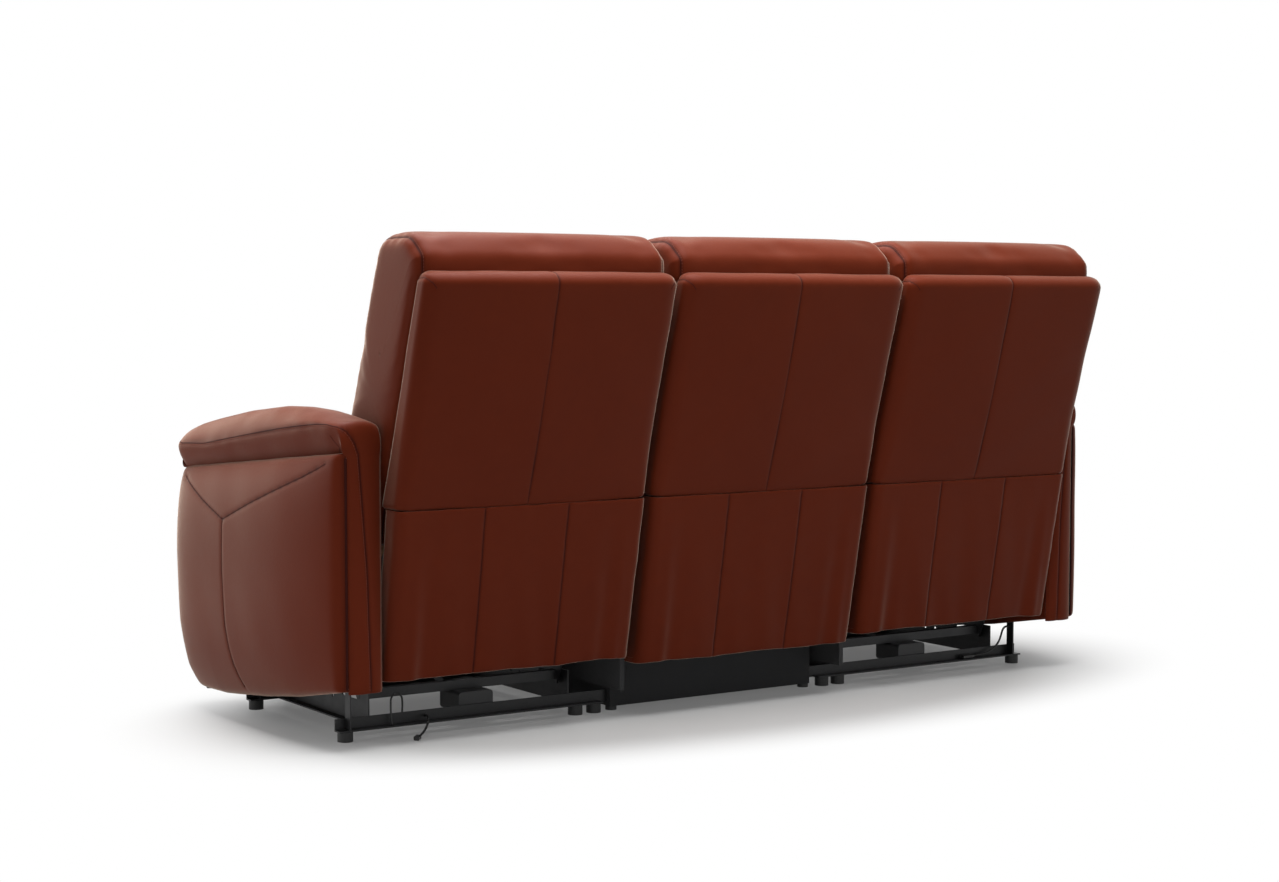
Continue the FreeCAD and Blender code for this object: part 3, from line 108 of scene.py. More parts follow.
class Recipe:
    """A material, or the world, under construction."""

    def __init__(self, name: str, world: bool = False) -> None:
        """Starts an empty material or world with its output node."""
        self.material = bpy.data.worlds.new(name) if world else bpy.data.materials.new(name)
        self.material.use_nodes = True
        self.tree = self.material.node_tree
        self.tree.nodes.clear()
        self.output = self.tree.nodes.new("ShaderNodeOutputWorld" if world else "ShaderNodeOutputMaterial")

    def node(self, kind: str, settings: Mapping[str, object] | None = None,
             inputs: Mapping[object, object] | None = None) -> bpy.types.Node:
        """Adds a node.

        Args:
            kind: the node's type.
            settings: its properties, set first; "stops" holds a ramp's (place, colour) pairs.
            inputs: its sockets by name or number, each a value or a signal.

        Returns:
            The node.
        """
        made = self.tree.nodes.new(kind)
        for key, value in (settings or {}).items():
            if key == "stops":
                ramp = made.color_ramp
                while len(ramp.elements) < len(value):
                    ramp.elements.new(0.5)
                for element, (place, colour) in zip(ramp.elements, value):
                    element.position = place
                    element.color = (*colour, 1.0)
            else:
                setattr(made, key, value)
        for key, value in (inputs or {}).items():
            socket = made.inputs[key]
            if isinstance(value, Signal):
                self.tree.links.new(value.socket, socket)
            elif socket.type == "RGBA" and isinstance(value, tuple) and len(value) == 3:
                socket.default_value = (*value, 1.0)
            else:
                socket.default_value = value
        return made

    def signal(self, kind: str, settings: Mapping[str, object] | None = None,
               inputs: Mapping[object, object] | None = None, out: object = 0) -> Signal:
        """Adds a node and returns one of its outputs."""
        return Signal(self, self.node(kind, settings, inputs).outputs[out])

    def seen(self) -> Signal:
        """1 where a camera, mirror or see-through ray looks, 0 for light that bounces."""
        path = self.node("ShaderNodeLightPath")
        rays = [Signal(self, path.outputs[f"Is {kind} Ray"]) for kind in ("Camera", "Glossy", "Transmission")]
        return rays[0].maths("MAXIMUM", rays[0].maths("MAXIMUM", rays[0], rays[1]), rays[2])

    def close(self, shader: bpy.types.Node) -> None:
        """Joins a shader to the output."""
        self.tree.links.new(shader.outputs[0], self.output.inputs[0])

    def mix(self, factor: object, first: object, second: object) -> Signal:
        """Mixes two colours by a factor."""
        made = self.node("ShaderNodeMix", {"data_type": "RGBA"}, {0: factor, 6: first, 7: second})
        return Signal(self, made.outputs[2])

    def place(self, scale: float, stretch: Point = (1.0, 1.0, 1.0)) -> Signal:
        """The point being shaded, in object space, scaled."""
        where = self.signal("ShaderNodeTexCoord", out="Object")
        return where * tuple(scale * part for part in stretch)

    def noise(self, scale: float, detail: float = 3.0, stretch: Point = (1.0, 1.0, 1.0)) -> Signal:
        """Smooth noise, as a number from 0 to 1."""
        return self.signal("ShaderNodeTexNoise", None,
                           {"Vector": self.place(1.0, stretch), "Scale": scale, "Detail": detail})

    def cells(self, scale: float) -> Signal:
        """Distance inside irregular cells, as in leather grain."""
        return self.signal("ShaderNodeTexVoronoi", None, {"Vector": self.place(1.0), "Scale": scale}, "Distance")

    def worn(self) -> Signal:
        """How strongly a point is painted with seam shade, from the mask stored on the mesh, 0 to 1."""
        return self.signal("ShaderNodeAttribute", {"attribute_name": "fold"}, out="Fac")

    def bump(self, height: Signal, strength: float, distance: float, under: Signal | None = None) -> Signal:
        """A bumped normal from a height."""
        inputs: dict[object, object] = {"Strength": strength, "Distance": distance, "Height": height}
        if under is not None:
            inputs["Normal"] = under
        return self.signal("ShaderNodeBump", None, inputs)

    def finish(self, **inputs: object) -> bpy.types.Material:
        """Closes the material with a Principled shader of these sockets."""
        named = {key.replace("_", " "): value for key, value in inputs.items()}
        self.close(self.node("ShaderNodeBsdfPrincipled", None, named))
        return self.material


@dataclass(frozen=True)
class Leather:
    """Corrected-grain upholstery leather with a soft sheen and painted shade beside its seams."""

    name: str
    colour: Colour = (0.096, 0.0130, 0.0040)
    # painted shade: the dark colour the leather takes in and beside its seams
    deep: Colour = (0.020, 0.002, 0.001)
    pale: Colour = (0.124, 0.0190, 0.0062)
    grain: float = 620.0
    roughness: float = 0.47

    def build(self) -> bpy.types.Material:
        """Makes the material."""
        recipe = Recipe(self.name)
        clouds = recipe.noise(3.2, 4.0)
        mottle = recipe.noise(46.0, 3.0)
        tone = recipe.mix(clouds * 0.55 + mottle * 0.25, self.colour, self.pale)
        # Painted shade: the tone darkens towards the seam shade colour beside every seam, by the mask that the seams
        # store.
        fold = recipe.worn()
        tone = recipe.mix(fold, tone, self.deep)
        pebbles = recipe.cells(self.grain)
        pores = recipe.noise(self.grain * 2.6, 2.0)
        creases = recipe.noise(90.0, 5.0)
        coarse = recipe.bump(creases, 0.10, 0.0012)
        skin = recipe.bump(pebbles * 0.8 + pores * 0.3, 0.22, 0.0005, coarse)
        rough = mottle * 0.10 + pebbles * 0.10 + (self.roughness - 0.08)
        return recipe.finish(Base_Color=tone, Roughness=rough, Normal=skin, IOR=1.45, Specular_IOR_Level=0.05,
                             Sheen_Weight=0.70, Sheen_Roughness=0.30, Sheen_Tint=(1.0, 0.80, 0.64, 1.0))


@dataclass(frozen=True)
class Steel:
    """Black or bare steel, with a fine orange peel and small scuffs."""

    name: str
    colour: Colour = (0.012, 0.012, 0.013)
    scuff: Colour = (0.035, 0.035, 0.037)
    metallic: float = 0.25
    roughness: float = 0.42

    def build(self) -> bpy.types.Material:
        """Makes the material."""
        recipe = Recipe(self.name)
        patches = recipe.noise(28.0, 4.0)
        lines = recipe.noise(160.0, 2.0, (1.0, 0.08, 1.0))
        tone = recipe.mix((patches * lines) ** 3.0 * 4.0, self.colour, self.scuff)
        peel = recipe.bump(recipe.noise(420.0, 2.0), 0.12, 0.0003)
        return recipe.finish(Base_Color=tone, Roughness=patches * 0.22 + (self.roughness - 0.11), Normal=peel,
                             Metallic=self.metallic)


@dataclass(frozen=True)
class Plastic:
    """Moulded plastic with a light spark texture."""

    name: str
    colour: Colour = (0.018, 0.018, 0.019)
    roughness: float = 0.5

    def build(self) -> bpy.types.Material:
        """Makes the material."""
        recipe = Recipe(self.name)
        cloud = recipe.noise(60.0, 3.0)
        lift = tuple(part * 1.6 + 0.004 for part in self.colour)
        tone = recipe.mix(cloud, self.colour, lift)
        spark = recipe.bump(recipe.noise(900.0, 1.0), 0.18, 0.0002)
        return recipe.finish(Base_Color=tone, Roughness=cloud * 0.15 + (self.roughness - 0.07), Normal=spark)


@dataclass(frozen=True)
class DustCloth:
    """Black non-woven lining cloth, embossed with small dots."""

    name: str
    colour: Colour = (0.012, 0.012, 0.013)
    fuzz: Colour = (0.030, 0.030, 0.032)

    def build(self) -> bpy.types.Material:
        """Makes the material."""
        recipe = Recipe(self.name)
        fibres = recipe.noise(700.0, 4.0, (1.0, 1.0, 0.5))
        dots = recipe.cells(420.0)
        tone = recipe.mix(fibres * 0.8 + recipe.noise(9.0, 3.0) * 0.3, self.colour, self.fuzz)
        press = recipe.bump(dots * 0.5 + fibres * 0.5, 0.4, 0.0006, recipe.bump(recipe.noise(14.0, 3.0), 0.25, 0.006))
        return recipe.finish(Base_Color=tone, Roughness=fibres * 0.1 + 0.82, Normal=press, Sheen_Weight=0.15)


@dataclass(frozen=True)
class Timber:
    """Planed frame timber with its growth rings and fibres."""

    name: str
    colour: Colour = (0.42, 0.27, 0.15)
    late: Colour = (0.24, 0.13, 0.06)

    def build(self) -> bpy.types.Material:
        """Makes the material."""
        recipe = Recipe(self.name)
        rings = recipe.signal("ShaderNodeTexWave", {"wave_type": "RINGS", "rings_direction": "X"},
                              {"Vector": recipe.place(1.0, (0.12, 1.0, 1.0)), "Scale": 22.0, "Distortion": 5.0,
                               "Detail": 3.0, "Detail Scale": 1.4}, 1)
        fibres = recipe.noise(260.0, 3.0, (0.04, 1.0, 1.0))
        tone = recipe.mix(rings * 0.6 + fibres * 0.35, self.colour, self.late)
        return recipe.finish(Base_Color=tone, Roughness=fibres * 0.2 + 0.55,
                             Normal=recipe.bump(fibres, 0.3, 0.0005))


@dataclass(frozen=True)
class Thread:
    """Waxed sewing thread."""

    name: str
    colour: Colour = (0.105, 0.032, 0.022)

    def build(self) -> bpy.types.Material:
        """Makes the material."""
        recipe = Recipe(self.name)
        twist = recipe.noise(1800.0, 2.0)
        light = tuple(part * 2.2 for part in self.colour)
        return recipe.finish(Base_Color=recipe.mix(twist, self.colour, light), Roughness=twist * 0.2 + 0.5,
                             Specular_IOR_Level=0.06, Normal=recipe.bump(twist, 0.4, 0.0002))


# Meshes

Faces = list[tuple[int, ...]]


def ripple(points: np.ndarray, size: float, seed: int) -> np.ndarray:
    """A smooth, repeatable field of waves.

    Args:
        points: places, one row each, in metres.
        size: the usual wavelength, in metres.
        seed: chooses the directions and phases.

    Returns:
        One value for each place, about -1 to 1.
    """
    dice = np.random.default_rng(seed)
    total = np.zeros(len(points))
    for _ in range(9):
        way = dice.normal(size=3)
        way *= 2.0 * math.pi / (size * np.linalg.norm(way)) * dice.uniform(0.55, 1.6)
        total += np.sin(points @ way + dice.uniform(0.0, 2.0 * math.pi))
    return total / 4.5


def spread(low: float, high: float, step: float, near: Iterable[float] = (), fine: float = 0.0012) -> list[float]:
    """Places from low to high, closer together beside a seam.

    Args:
        low: the first place.
        high: the last place.
        step: the usual spacing.
        near: places of seams.
        fine: the spacing at a seam.

    Returns:
        The places in order.
    """
    count = max(2, round((high - low) / step) + 1)
    places = [low + (high - low) * index / (count - 1) for index in range(count)]
    for seam in near:
        close = [seam + fine * offset for offset in (-4.0, -2.4, -1.2, 0.0, 1.2, 2.4, 4.0)]
        places = [place for place in places if abs(place - seam) > fine * 5.0 or place in (low, high)]
        places += [place for place in close if low < place < high]
    return sorted(places)


def skin(name: str, rows: Sequence[np.ndarray], around: bool, capped: bool) -> bpy.types.Object:
    """Joins rows of points into a mesh.

    Args:
        name: the object's name.
        rows: arrays of points, all of one length.
        around: whether each row closes on itself.
        capped: whether the first and the last row are closed with shrinking rings.

    Returns:
        The object, linked to the scene.
    """
    stack = [np.asarray(row, dtype=float) for row in rows]
    if capped:
        first, last = stack[0], stack[-1]
        steps = (0.9, 0.72, 0.5, 0.26)
        head = [first.mean(axis=0) + (first - first.mean(axis=0)) * share for share in steps]
        tail = [last.mean(axis=0) + (last - last.mean(axis=0)) * share for share in steps]
        stack = head[::-1] + stack + tail
    wide = len(stack[0])
    faces = woven(0, len(stack), wide, around)
    if capped:
        for base in (0, (len(stack) - 1) * wide):
            faces += zipped(base, wide)
    return solid(name, np.concatenate(stack), faces)


def woven(base: int, rows: int, wide: int, around: bool = True) -> Faces:
    """Joins rows of points with four-sided faces.

    Args:
        base: the first row's first point.
        rows: how many rows there are.
        wide: how many points a row has.
        around: whether each row closes on itself.

    Returns:
        The faces.
    """
    faces: Faces = []
    for start in range(base, base + (rows - 1) * wide, wide):
        for spot in range(wide if around else wide - 1):
            after = (spot + 1) % wide
            faces.append((start + spot, start + after, start + wide + after, start + wide + spot))
    return faces


def zipped(base: int, wide: int) -> Faces:
    """Closes a ring of points with one row of faces, as a zip does.

    Args:
        base: the ring's first point.
        wide: how many points it has.

    Returns:
        The faces.
    """
    faces: Faces = []
    for spot in range((wide - 1) // 2):
        corners = (spot, spot + 1, wide - 2 - spot, wide - 1 - spot)
        faces.append(tuple(base + corner for corner in dict.fromkeys(corners)))
    return faces


def placed(name: str, data: bpy.types.ID) -> bpy.types.Object:
    """Makes an object of some data and links it to the scene."""
    thing = bpy.data.objects.new(name, data)
    bpy.context.scene.collection.objects.link(thing)
    return thing


def aimed(name: str, data: bpy.types.ID, place: Point, way: Vector) -> bpy.types.Object:
    """Makes a camera or a lamp at a place, looking along a direction."""
    thing = placed(name, data)
    thing.location = place
    thing.rotation_euler = way.to_track_quat("-Z", "Y").to_euler()
    return thing


def solid(name: str, points: np.ndarray, faces: Sequence[Sequence[int]]) -> bpy.types.Object:
    """Makes an object of points and faces, with its normals outward and its shading smooth."""
    mesh = bpy.data.meshes.new(name)
    mesh.from_pydata([tuple(map(float, point)) for point in points], [], [list(face) for face in faces])
    work = bmesh.new()
    work.from_mesh(mesh)
    bmesh.ops.recalc_face_normals(work, faces=work.faces)
    work.to_mesh(mesh)
    work.free()
    mesh.shade_smooth()
    return placed(name, mesh)


def read(items: bpy.types.bpy_prop_collection, key: str) -> np.ndarray:
    """One vector of every point of a mesh, as rows of three numbers."""
    data = np.empty(len(items) * 3)
    items.foreach_get(key, data)
    return data.reshape(-1, 3)


def places_of(thing: bpy.types.Object) -> np.ndarray:
    """The mesh's points as an array."""
    return read(thing.data.vertices, "co")


def normals_of(thing: bpy.types.Object) -> np.ndarray:
    """The mesh's point normals as an array."""
    return read(thing.data.vertices, "normal")


def reshape(thing: bpy.types.Object, points: np.ndarray) -> None:
    """Moves the mesh's points."""
    thing.data.vertices.foreach_set("co", points.ravel())
    thing.data.update()


def roughen(thing: bpy.types.Object, height: float, size: float, seed: int, shift: float = 0.0) -> None:
    """Moves the mesh's points along their normals by soft waves, as hide does over padding."""
    points = places_of(thing)
    reshape(thing, points + normals_of(thing) * (height * ripple(points + shift, size, seed))[:, None])


def smooth(thing: bpy.types.Object, thickness: float = 0.0) -> None:
    """Gives a sheet its thickness, where it has one, and adds a subdivision surface."""
    if thickness:
        thick = thing.modifiers.new("leather", "SOLIDIFY")
        thick.thickness = thickness
        thick.offset = -1.0
    made = thing.modifiers.new("smooth", "SUBSURF")
    made.levels = made.render_levels = 1


def between(place: float, places: Sequence[float], values: Sequence[float]) -> float:
    """Reads a table between its places."""
    return float(np.interp(place, places, values))


def distance_to(points: np.ndarray, path: np.ndarray) -> tuple[np.ndarray, np.ndarray]:
    """How far each point lies from a line of points, and how far along that line.

    Args:
        points: the points.
        path: the line's corners.

    Returns:
        The distances, and the lengths along the line to the nearest place.
    """
    best = np.full(len(points), 1e9)
    along = np.zeros(len(points))
    done = 0.0
    for start, stop in zip(path[:-1], path[1:]):
        way = stop - start
        length = float(np.linalg.norm(way))
        if length < TINY:
            continue
        share = np.clip((points - start) @ way / length ** 2, 0.0, 1.0)
        gap = np.linalg.norm(points - (start + share[:, None] * way), axis=1)
        closer = gap < best
        best[closer] = gap[closer]
        along[closer] = done + share[closer] * length
        done += length
    return best, along


HOLD = 0.006  # how far a seam holds the leather beside it, in metres
GATHER = 0.0135  # length of one small gather beside a seam


@dataclass
class Seam:
    """A sewn line on a leather piece.

    Attributes:
        path: its points, near the surface.
        depth: how far the leather is drawn in.
        width: how wide the draw is.
        rows: offsets of the stitch rows to one side or the other, in metres.
        pucker: height of the small gathers beside the seam.
        line: radius of the dark cord of painted shade laid along the seam, 0 for none.
        pitch: length of one stitch.
    """

    path: Sequence[Sequence[float]]
    depth: float = 0.0022
    width: float = 0.0045
    rows: tuple[float, ...] = ()
    pucker: float = 0.0
    line: float = 0.0007
    pitch: float = 0.0062


def held_by(points: np.ndarray, seams: Sequence[Seam]) -> np.ndarray:
    """How firmly the nearest of some seams holds each point, 0 to 1."""
    gap = np.min([distance_to(points, np.asarray(seam.path, dtype=float))[0] for seam in seams], axis=0)
    return np.exp(-(gap / HOLD) ** 2)


def even(path: np.ndarray, step: float) -> np.ndarray:
    """Points at even steps along a line."""
    lengths = np.concatenate([[0.0], np.cumsum(np.linalg.norm(np.diff(path, axis=0), axis=1))])
    count = max(2, int(lengths[-1] / step) + 1)
    marks = np.linspace(0.0, lengths[-1], count)
    return np.stack([np.interp(marks, lengths, path[:, axis]) for axis in range(3)], axis=1)


class Upholstery:
    """Sews leather pieces: draws seams in, paints shade beside them and lays thread and dark cords of painted shade on
    the surface.
    """

    def __init__(self, thread: bpy.types.Material, crease: bpy.types.Material) -> None:
        """Keeps the thread's finish and that of the dark cords of painted seam shade."""
        self.thread = thread
        self.crease = crease

    def draw_in(self, thing: bpy.types.Object, seams: Sequence[Seam]) -> None:
        """Presses the seams into the mesh and stores, for each point, how strongly painted seam shade darkens the
        leather there.
        """
        points = places_of(thing)
        normals = normals_of(thing)
        fold = np.zeros(len(points))
        for index, seam in enumerate(seams):
            gap, along = distance_to(points, np.asarray(seam.path, dtype=float))
            pull = np.exp(-(gap / seam.width) ** 2)
            points -= normals * (seam.depth * pull)[:, None]
            if seam.pucker:
                fan = np.exp(-(gap / (seam.width * 2.6)) ** 2) * (gap > seam.width * 0.3)
                wave = np.sin(along / GATHER * 2 * math.pi + 2.0 * np.sin(along / 0.061 + index))
                patch = 0.35 + 0.65 * (0.5 + 0.5 * np.sin(along / 0.093 + 1.7 * index))
                points += normals * (seam.pucker * fan * wave * patch)[:, None]
            # painted shade: a darkening mask beside each seam, stored as a mesh attribute
            fold = np.maximum(fold, 0.75 * np.exp(-(gap / (seam.width * 0.55)) ** 2))
        reshape(thing, points)
        layer = thing.data.attributes.get("fold") or thing.data.attributes.new("fold", "FLOAT", "POINT")
        layer.data.foreach_set("value", fold.astype(np.float32))

    def surface(self, thing: bpy.types.Object) -> BVHTree:
        """The finished surface, for laying thread on."""
        graph = bpy.context.evaluated_depsgraph_get()
        return BVHTree.FromObject(thing, graph)

    def sew(self, thing: bpy.types.Object, seams: Sequence[Seam]) -> list[bpy.types.Object]:
        """Lays each seam's dark cord of painted shade and its stitches on the finished surface.

        Args:
            thing: the leather piece.
            seams: its seams.

        Returns:
            The painted-shade cord and the thread, each one object, where there are any.
        """
        tree = self.surface(thing)
        shade_cord_points: list[np.ndarray] = []
        shade_cord_faces: Faces = []
        stitch_points: list[np.ndarray] = []
        stitch_faces: Faces = []
        for seam in seams:
            path = even(np.asarray(seam.path, dtype=float), 0.004)
            spots = [tree.find_nearest(Vector(point)) for point in path]
            spots = [spot for spot in spots if spot[0] is not None]
            where = np.array([spot[0] for spot in spots])
            up = np.array([spot[1] for spot in spots])
            if len(where) < 3:
                continue
            ahead = np.gradient(where, axis=0)
            ahead /= np.linalg.norm(ahead, axis=1)[:, None] + FINEST
            aside = np.cross(ahead, up)
            aside /= np.linalg.norm(aside, axis=1)[:, None] + FINEST
            # painted shade: a dark cord laid in the seam's valley
            if seam.line:
                self.tube(shade_cord_points, shade_cord_faces, where + up * 0.0001, aside, up, seam.line)
            for offset in seam.rows:
                self.stitches(stitch_points, stitch_faces, tree, where + aside * offset, seam.pitch)
        made = []
        for word, points, faces, finish in (("crease", shade_cord_points, shade_cord_faces, self.crease),
                                            ("stitches", stitch_points, stitch_faces, self.thread)):
            if points:
                piece = solid(f"{thing.name}_{word}", np.concatenate(points), faces)
                piece.data.materials.append(finish)
                made.append(piece)
        return made

    @staticmethod
    def tube(points: list[np.ndarray], faces: Faces, where: np.ndarray, aside: np.ndarray,
             up: np.ndarray, radius: float) -> None:
        """Adds a flat-lying cord of six sides along a line."""
        base = sum(len(part) for part in points)
        ring = [(math.cos(turn), 0.6 * math.sin(turn)) for turn in np.linspace(0, 2 * math.pi, 7)[:-1]]
        rows = np.stack([where + radius * (aside * x + up * y) for x, y in ring], axis=1)
        points.append(rows.reshape(-1, 3))
        faces += woven(base, len(where), 6)
        faces += [tuple(end + spot for spot in range(6)) for end in (base, base + (len(where) - 1) * 6)]

    @staticmethod
    def stitches(points: list[np.ndarray], faces: Faces, tree: BVHTree, path: np.ndarray,
                 pitch: float) -> None:
        """Adds a row of stitches, each a short rounded length of thread that dips at both ends."""
        marks = even(path, pitch)
        base = sum(len(part) for part in points)
        ring = [(math.cos(turn), math.sin(turn)) for turn in np.linspace(0, 2 * math.pi, 6)[:-1]]
        for start, stop in zip(marks[:-1], marks[1:]):
            ends = [tree.find_nearest(Vector(start + (stop - start) * share)) for share in (0.1, 0.35, 0.65, 0.9)]
            if any(end[0] is None for end in ends):
                continue
            line = np.array([end[0] for end in ends])
            up = np.array([end[1] for end in ends])
            way = line[-1] - line[0]
            size = np.linalg.norm(way)
            if size < 1e-6 or size > pitch * 1.6:  # bent back, or torn from its row
                continue
            aside = np.cross(way / size, up)
            rows = []
            for spot, (radius, lift) in enumerate(((0.00018, -0.0003), (0.00052, 0.0003), (0.00052, 0.0003),
                                                   (0.00018, -0.0003))):
                centre = line[spot] + up[spot] * lift
                rows.append([centre + radius * (aside[spot] * x + up[spot] * y) for x, y in ring])
            points.append(np.array(rows).reshape(-1, 3))
            faces += woven(base, 4, 5)
            faces += [tuple(end + spot for spot in range(5)) for end in (base, base + 15)]
            base += 20


@dataclass
class Workshop:
    """What every sub-assembly needs: the finishes and the sewing."""

    finishes: dict[str, bpy.types.Material]
    sewing: Upholstery

    def dress(self, thing: bpy.types.Object, finish: str, body: str, nodes: Sequence[str] = (),
              seams: Sequence[Seam] = ()) -> bpy.types.Object:
        """Gives a piece its material and its body, hides the CAD nodes it stands for and lays its thread.

        Args:
            thing: the piece.
            finish: the name of its finish.
            body: the body it moves with.
            nodes: the CAD nodes it stands for.
            seams: its seams, laid on the finished surface.

        Returns:
            The piece.
        """
        thing.data.materials.append(self.finishes[finish])
        if nodes:
            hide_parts(*nodes)
        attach(thing, body)
        for piece in self.sewing.sew(thing, seams):
            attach(piece, body)
        log.info("%s on %s: %d points", thing.name, body, len(thing.data.vertices))
        return thing

    def cover(self, thing: bpy.types.Object, hide: str, body: str, node: str, seams: Sequence[Seam],
              thickness: float = 0.0) -> bpy.types.Object:
        """Finishes a leather piece: draws its seams in, smooths it and dresses it.

        Args:
            thing: the piece.
            hide: which leather, and so which finish: seat, rear or arm.
            body: the body it moves with.
            node: the CAD node it stands for.
            seams: its seams.
            thickness: the leather's thickness where the piece is a sheet.

        Returns:
            The piece.
        """
        if seams:
            self.sewing.draw_in(thing, seams)
        smooth(thing, thickness)
        return self.dress(thing, f"{hide} leather", body, [node], seams)


def rounded_path(corners: Sequence[Point], step: float) -> np.ndarray:
    """A closed outline with rounded corners.

    Args:
        corners: (first, second, radius) of each corner, in order.
        step: the usual spacing of its points.

    Returns:
        The outline's points, evenly spaced, as rows of two numbers.
    """
    spots = [np.array(corner[:2]) for corner in corners]
    line: list[np.ndarray] = []
    for index, (*_, radius) in enumerate(corners):
        here = spots[index]
        back = spots[index - 1] - here
        ahead = spots[(index + 1) % len(spots)] - here
        back_length, ahead_length = np.linalg.norm(back), np.linalg.norm(ahead)
        back, ahead = back / back_length, ahead / ahead_length
        half = math.acos(float(np.clip(back @ ahead, -1.0, 1.0))) / 2
        reach = min(radius / max(math.tan(half), 1e-6), 0.48 * back_length, 0.48 * ahead_length)
        bend = reach * math.tan(half)
        middle = here + (back + ahead) / np.linalg.norm(back + ahead) * (bend / math.sin(half))
        start, stop = here + back * reach, here + ahead * reach
        for share in np.linspace(0.0, 1.0, 9):
            spot = start + (stop - start) * share - middle
            line.append(middle + spot / np.linalg.norm(spot) * bend)
    loop = np.array(line + [line[0]])
    lengths = np.concatenate([[0.0], np.cumsum(np.linalg.norm(np.diff(loop, axis=0), axis=1))])
    count = max(12, round(lengths[-1] / step))
    marks = np.linspace(0.0, lengths[-1], count + 1)[:-1]
    return np.stack([np.interp(marks, lengths, loop[:, axis]) for axis in range(2)], axis=1)


def shrunk(outline: np.ndarray, inset: float) -> np.ndarray:
    """An outline moved inwards along its normals, softly."""
    ahead = np.roll(outline, -1, axis=0) - np.roll(outline, 1, axis=0)
    ahead /= np.linalg.norm(ahead, axis=1)[:, None] + FINEST
    inward = np.stack([-ahead[:, 1], ahead[:, 0]], axis=1)
    area = 0.5 * np.sum(outline[:, 0] * np.roll(outline[:, 1], -1) - np.roll(outline[:, 0], -1) * outline[:, 1])
    if area < 0:
        inward = -inward
    return outline + inward * inset


@dataclass
class Bolster:
    """A padded form with one outline and rounded sides: a cushion or a pad.

    Attributes:
        outline: closed (y, z) outline with corner radii.
        half: half its width.
        turn: radius of its sides.
        swell: how far its sides stand out in the middle.
        step: spacing of its points.
    """

    outline: Sequence[Point]
    half: float
    turn: float = 0.030
    swell: float = 0.004
    step: float = 0.009

    def rows(self, middle: float) -> list[np.ndarray]:
        """The rows of points, from one side to the other."""
        base = rounded_path(self.outline, self.step)
        flat = self.half - self.turn
        turns = np.radians(np.linspace(15, 90, 7))
        side = [(flat + self.turn * math.sin(turn), self.turn * (1 - math.cos(turn))) for turn in turns]
        places = [(-across, inset) for across, inset in side[::-1]]
        places += [(place, 0.0) for place in spread(-flat, flat, self.step * 1.3)] + side
        rows = []
        for across, inset in places:
            line = shrunk(base, inset)
            rows.append(np.column_stack([np.full(len(line), middle + across), line]))
        return rows

    def build(self, name: str, middle: float) -> bpy.types.Object:
        """Makes the plain padded form."""
        thing = skin(name, self.rows(middle), True, True)
        points = places_of(thing)
        side = np.sign(points[:, 0] - middle)
        out = np.abs(points[:, 0] - middle)
        centre = points[:, 1:].mean(axis=0)
        reach = np.linalg.norm((points[:, 1:] - centre) / np.ptp(points[:, 1:], axis=0), axis=1)
        points[:, 0] += side * self.swell * (out > self.half - self.turn * 0.4) * np.clip(1 - 2.2 * reach, 0, 1)
        reshape(thing, points)
        return thing

    def side_line(self, middle: float, side: int, angle: float) -> np.ndarray:
        """The line that runs round one side of the form at an angle of its rounding."""
        base = rounded_path(self.outline, self.step)
        turn = math.radians(angle)
        line = shrunk(base, self.turn * (1 - math.cos(turn)))
        across = self.half - self.turn + self.turn * math.sin(turn)
        loop = np.column_stack([np.full(len(line), middle + side * across), line])
        return np.concatenate([loop, loop[:1]])

    def side_seams(self, middle: float, angle: float, row: float, *sizes: float) -> list[Seam]:
        """The two seams round its sides.

        Args:
            middle: X of the form's middle.
            angle: where on the rounding they run, in degrees.
            row: offset of the stitches towards the middle, 0 for none.
            sizes: depth, width, pucker and line of the seams.

        Returns:
            The seams.
        """
        depth, width, pucker, line = sizes
        return [Seam(self.side_line(middle, sign, angle), depth, width, (-row * sign,) if row else (), pucker, line)
                for sign in (-1, 1)]


LEATHER_CLOTH = {"quality": 4, "mass": 0.35, "tension_stiffness": 18, "compression_stiffness": 18,
                 "shear_stiffness": 6, "bending_stiffness": 0.8, "use_pressure": True, "vertex_group_mass": "sewn"}


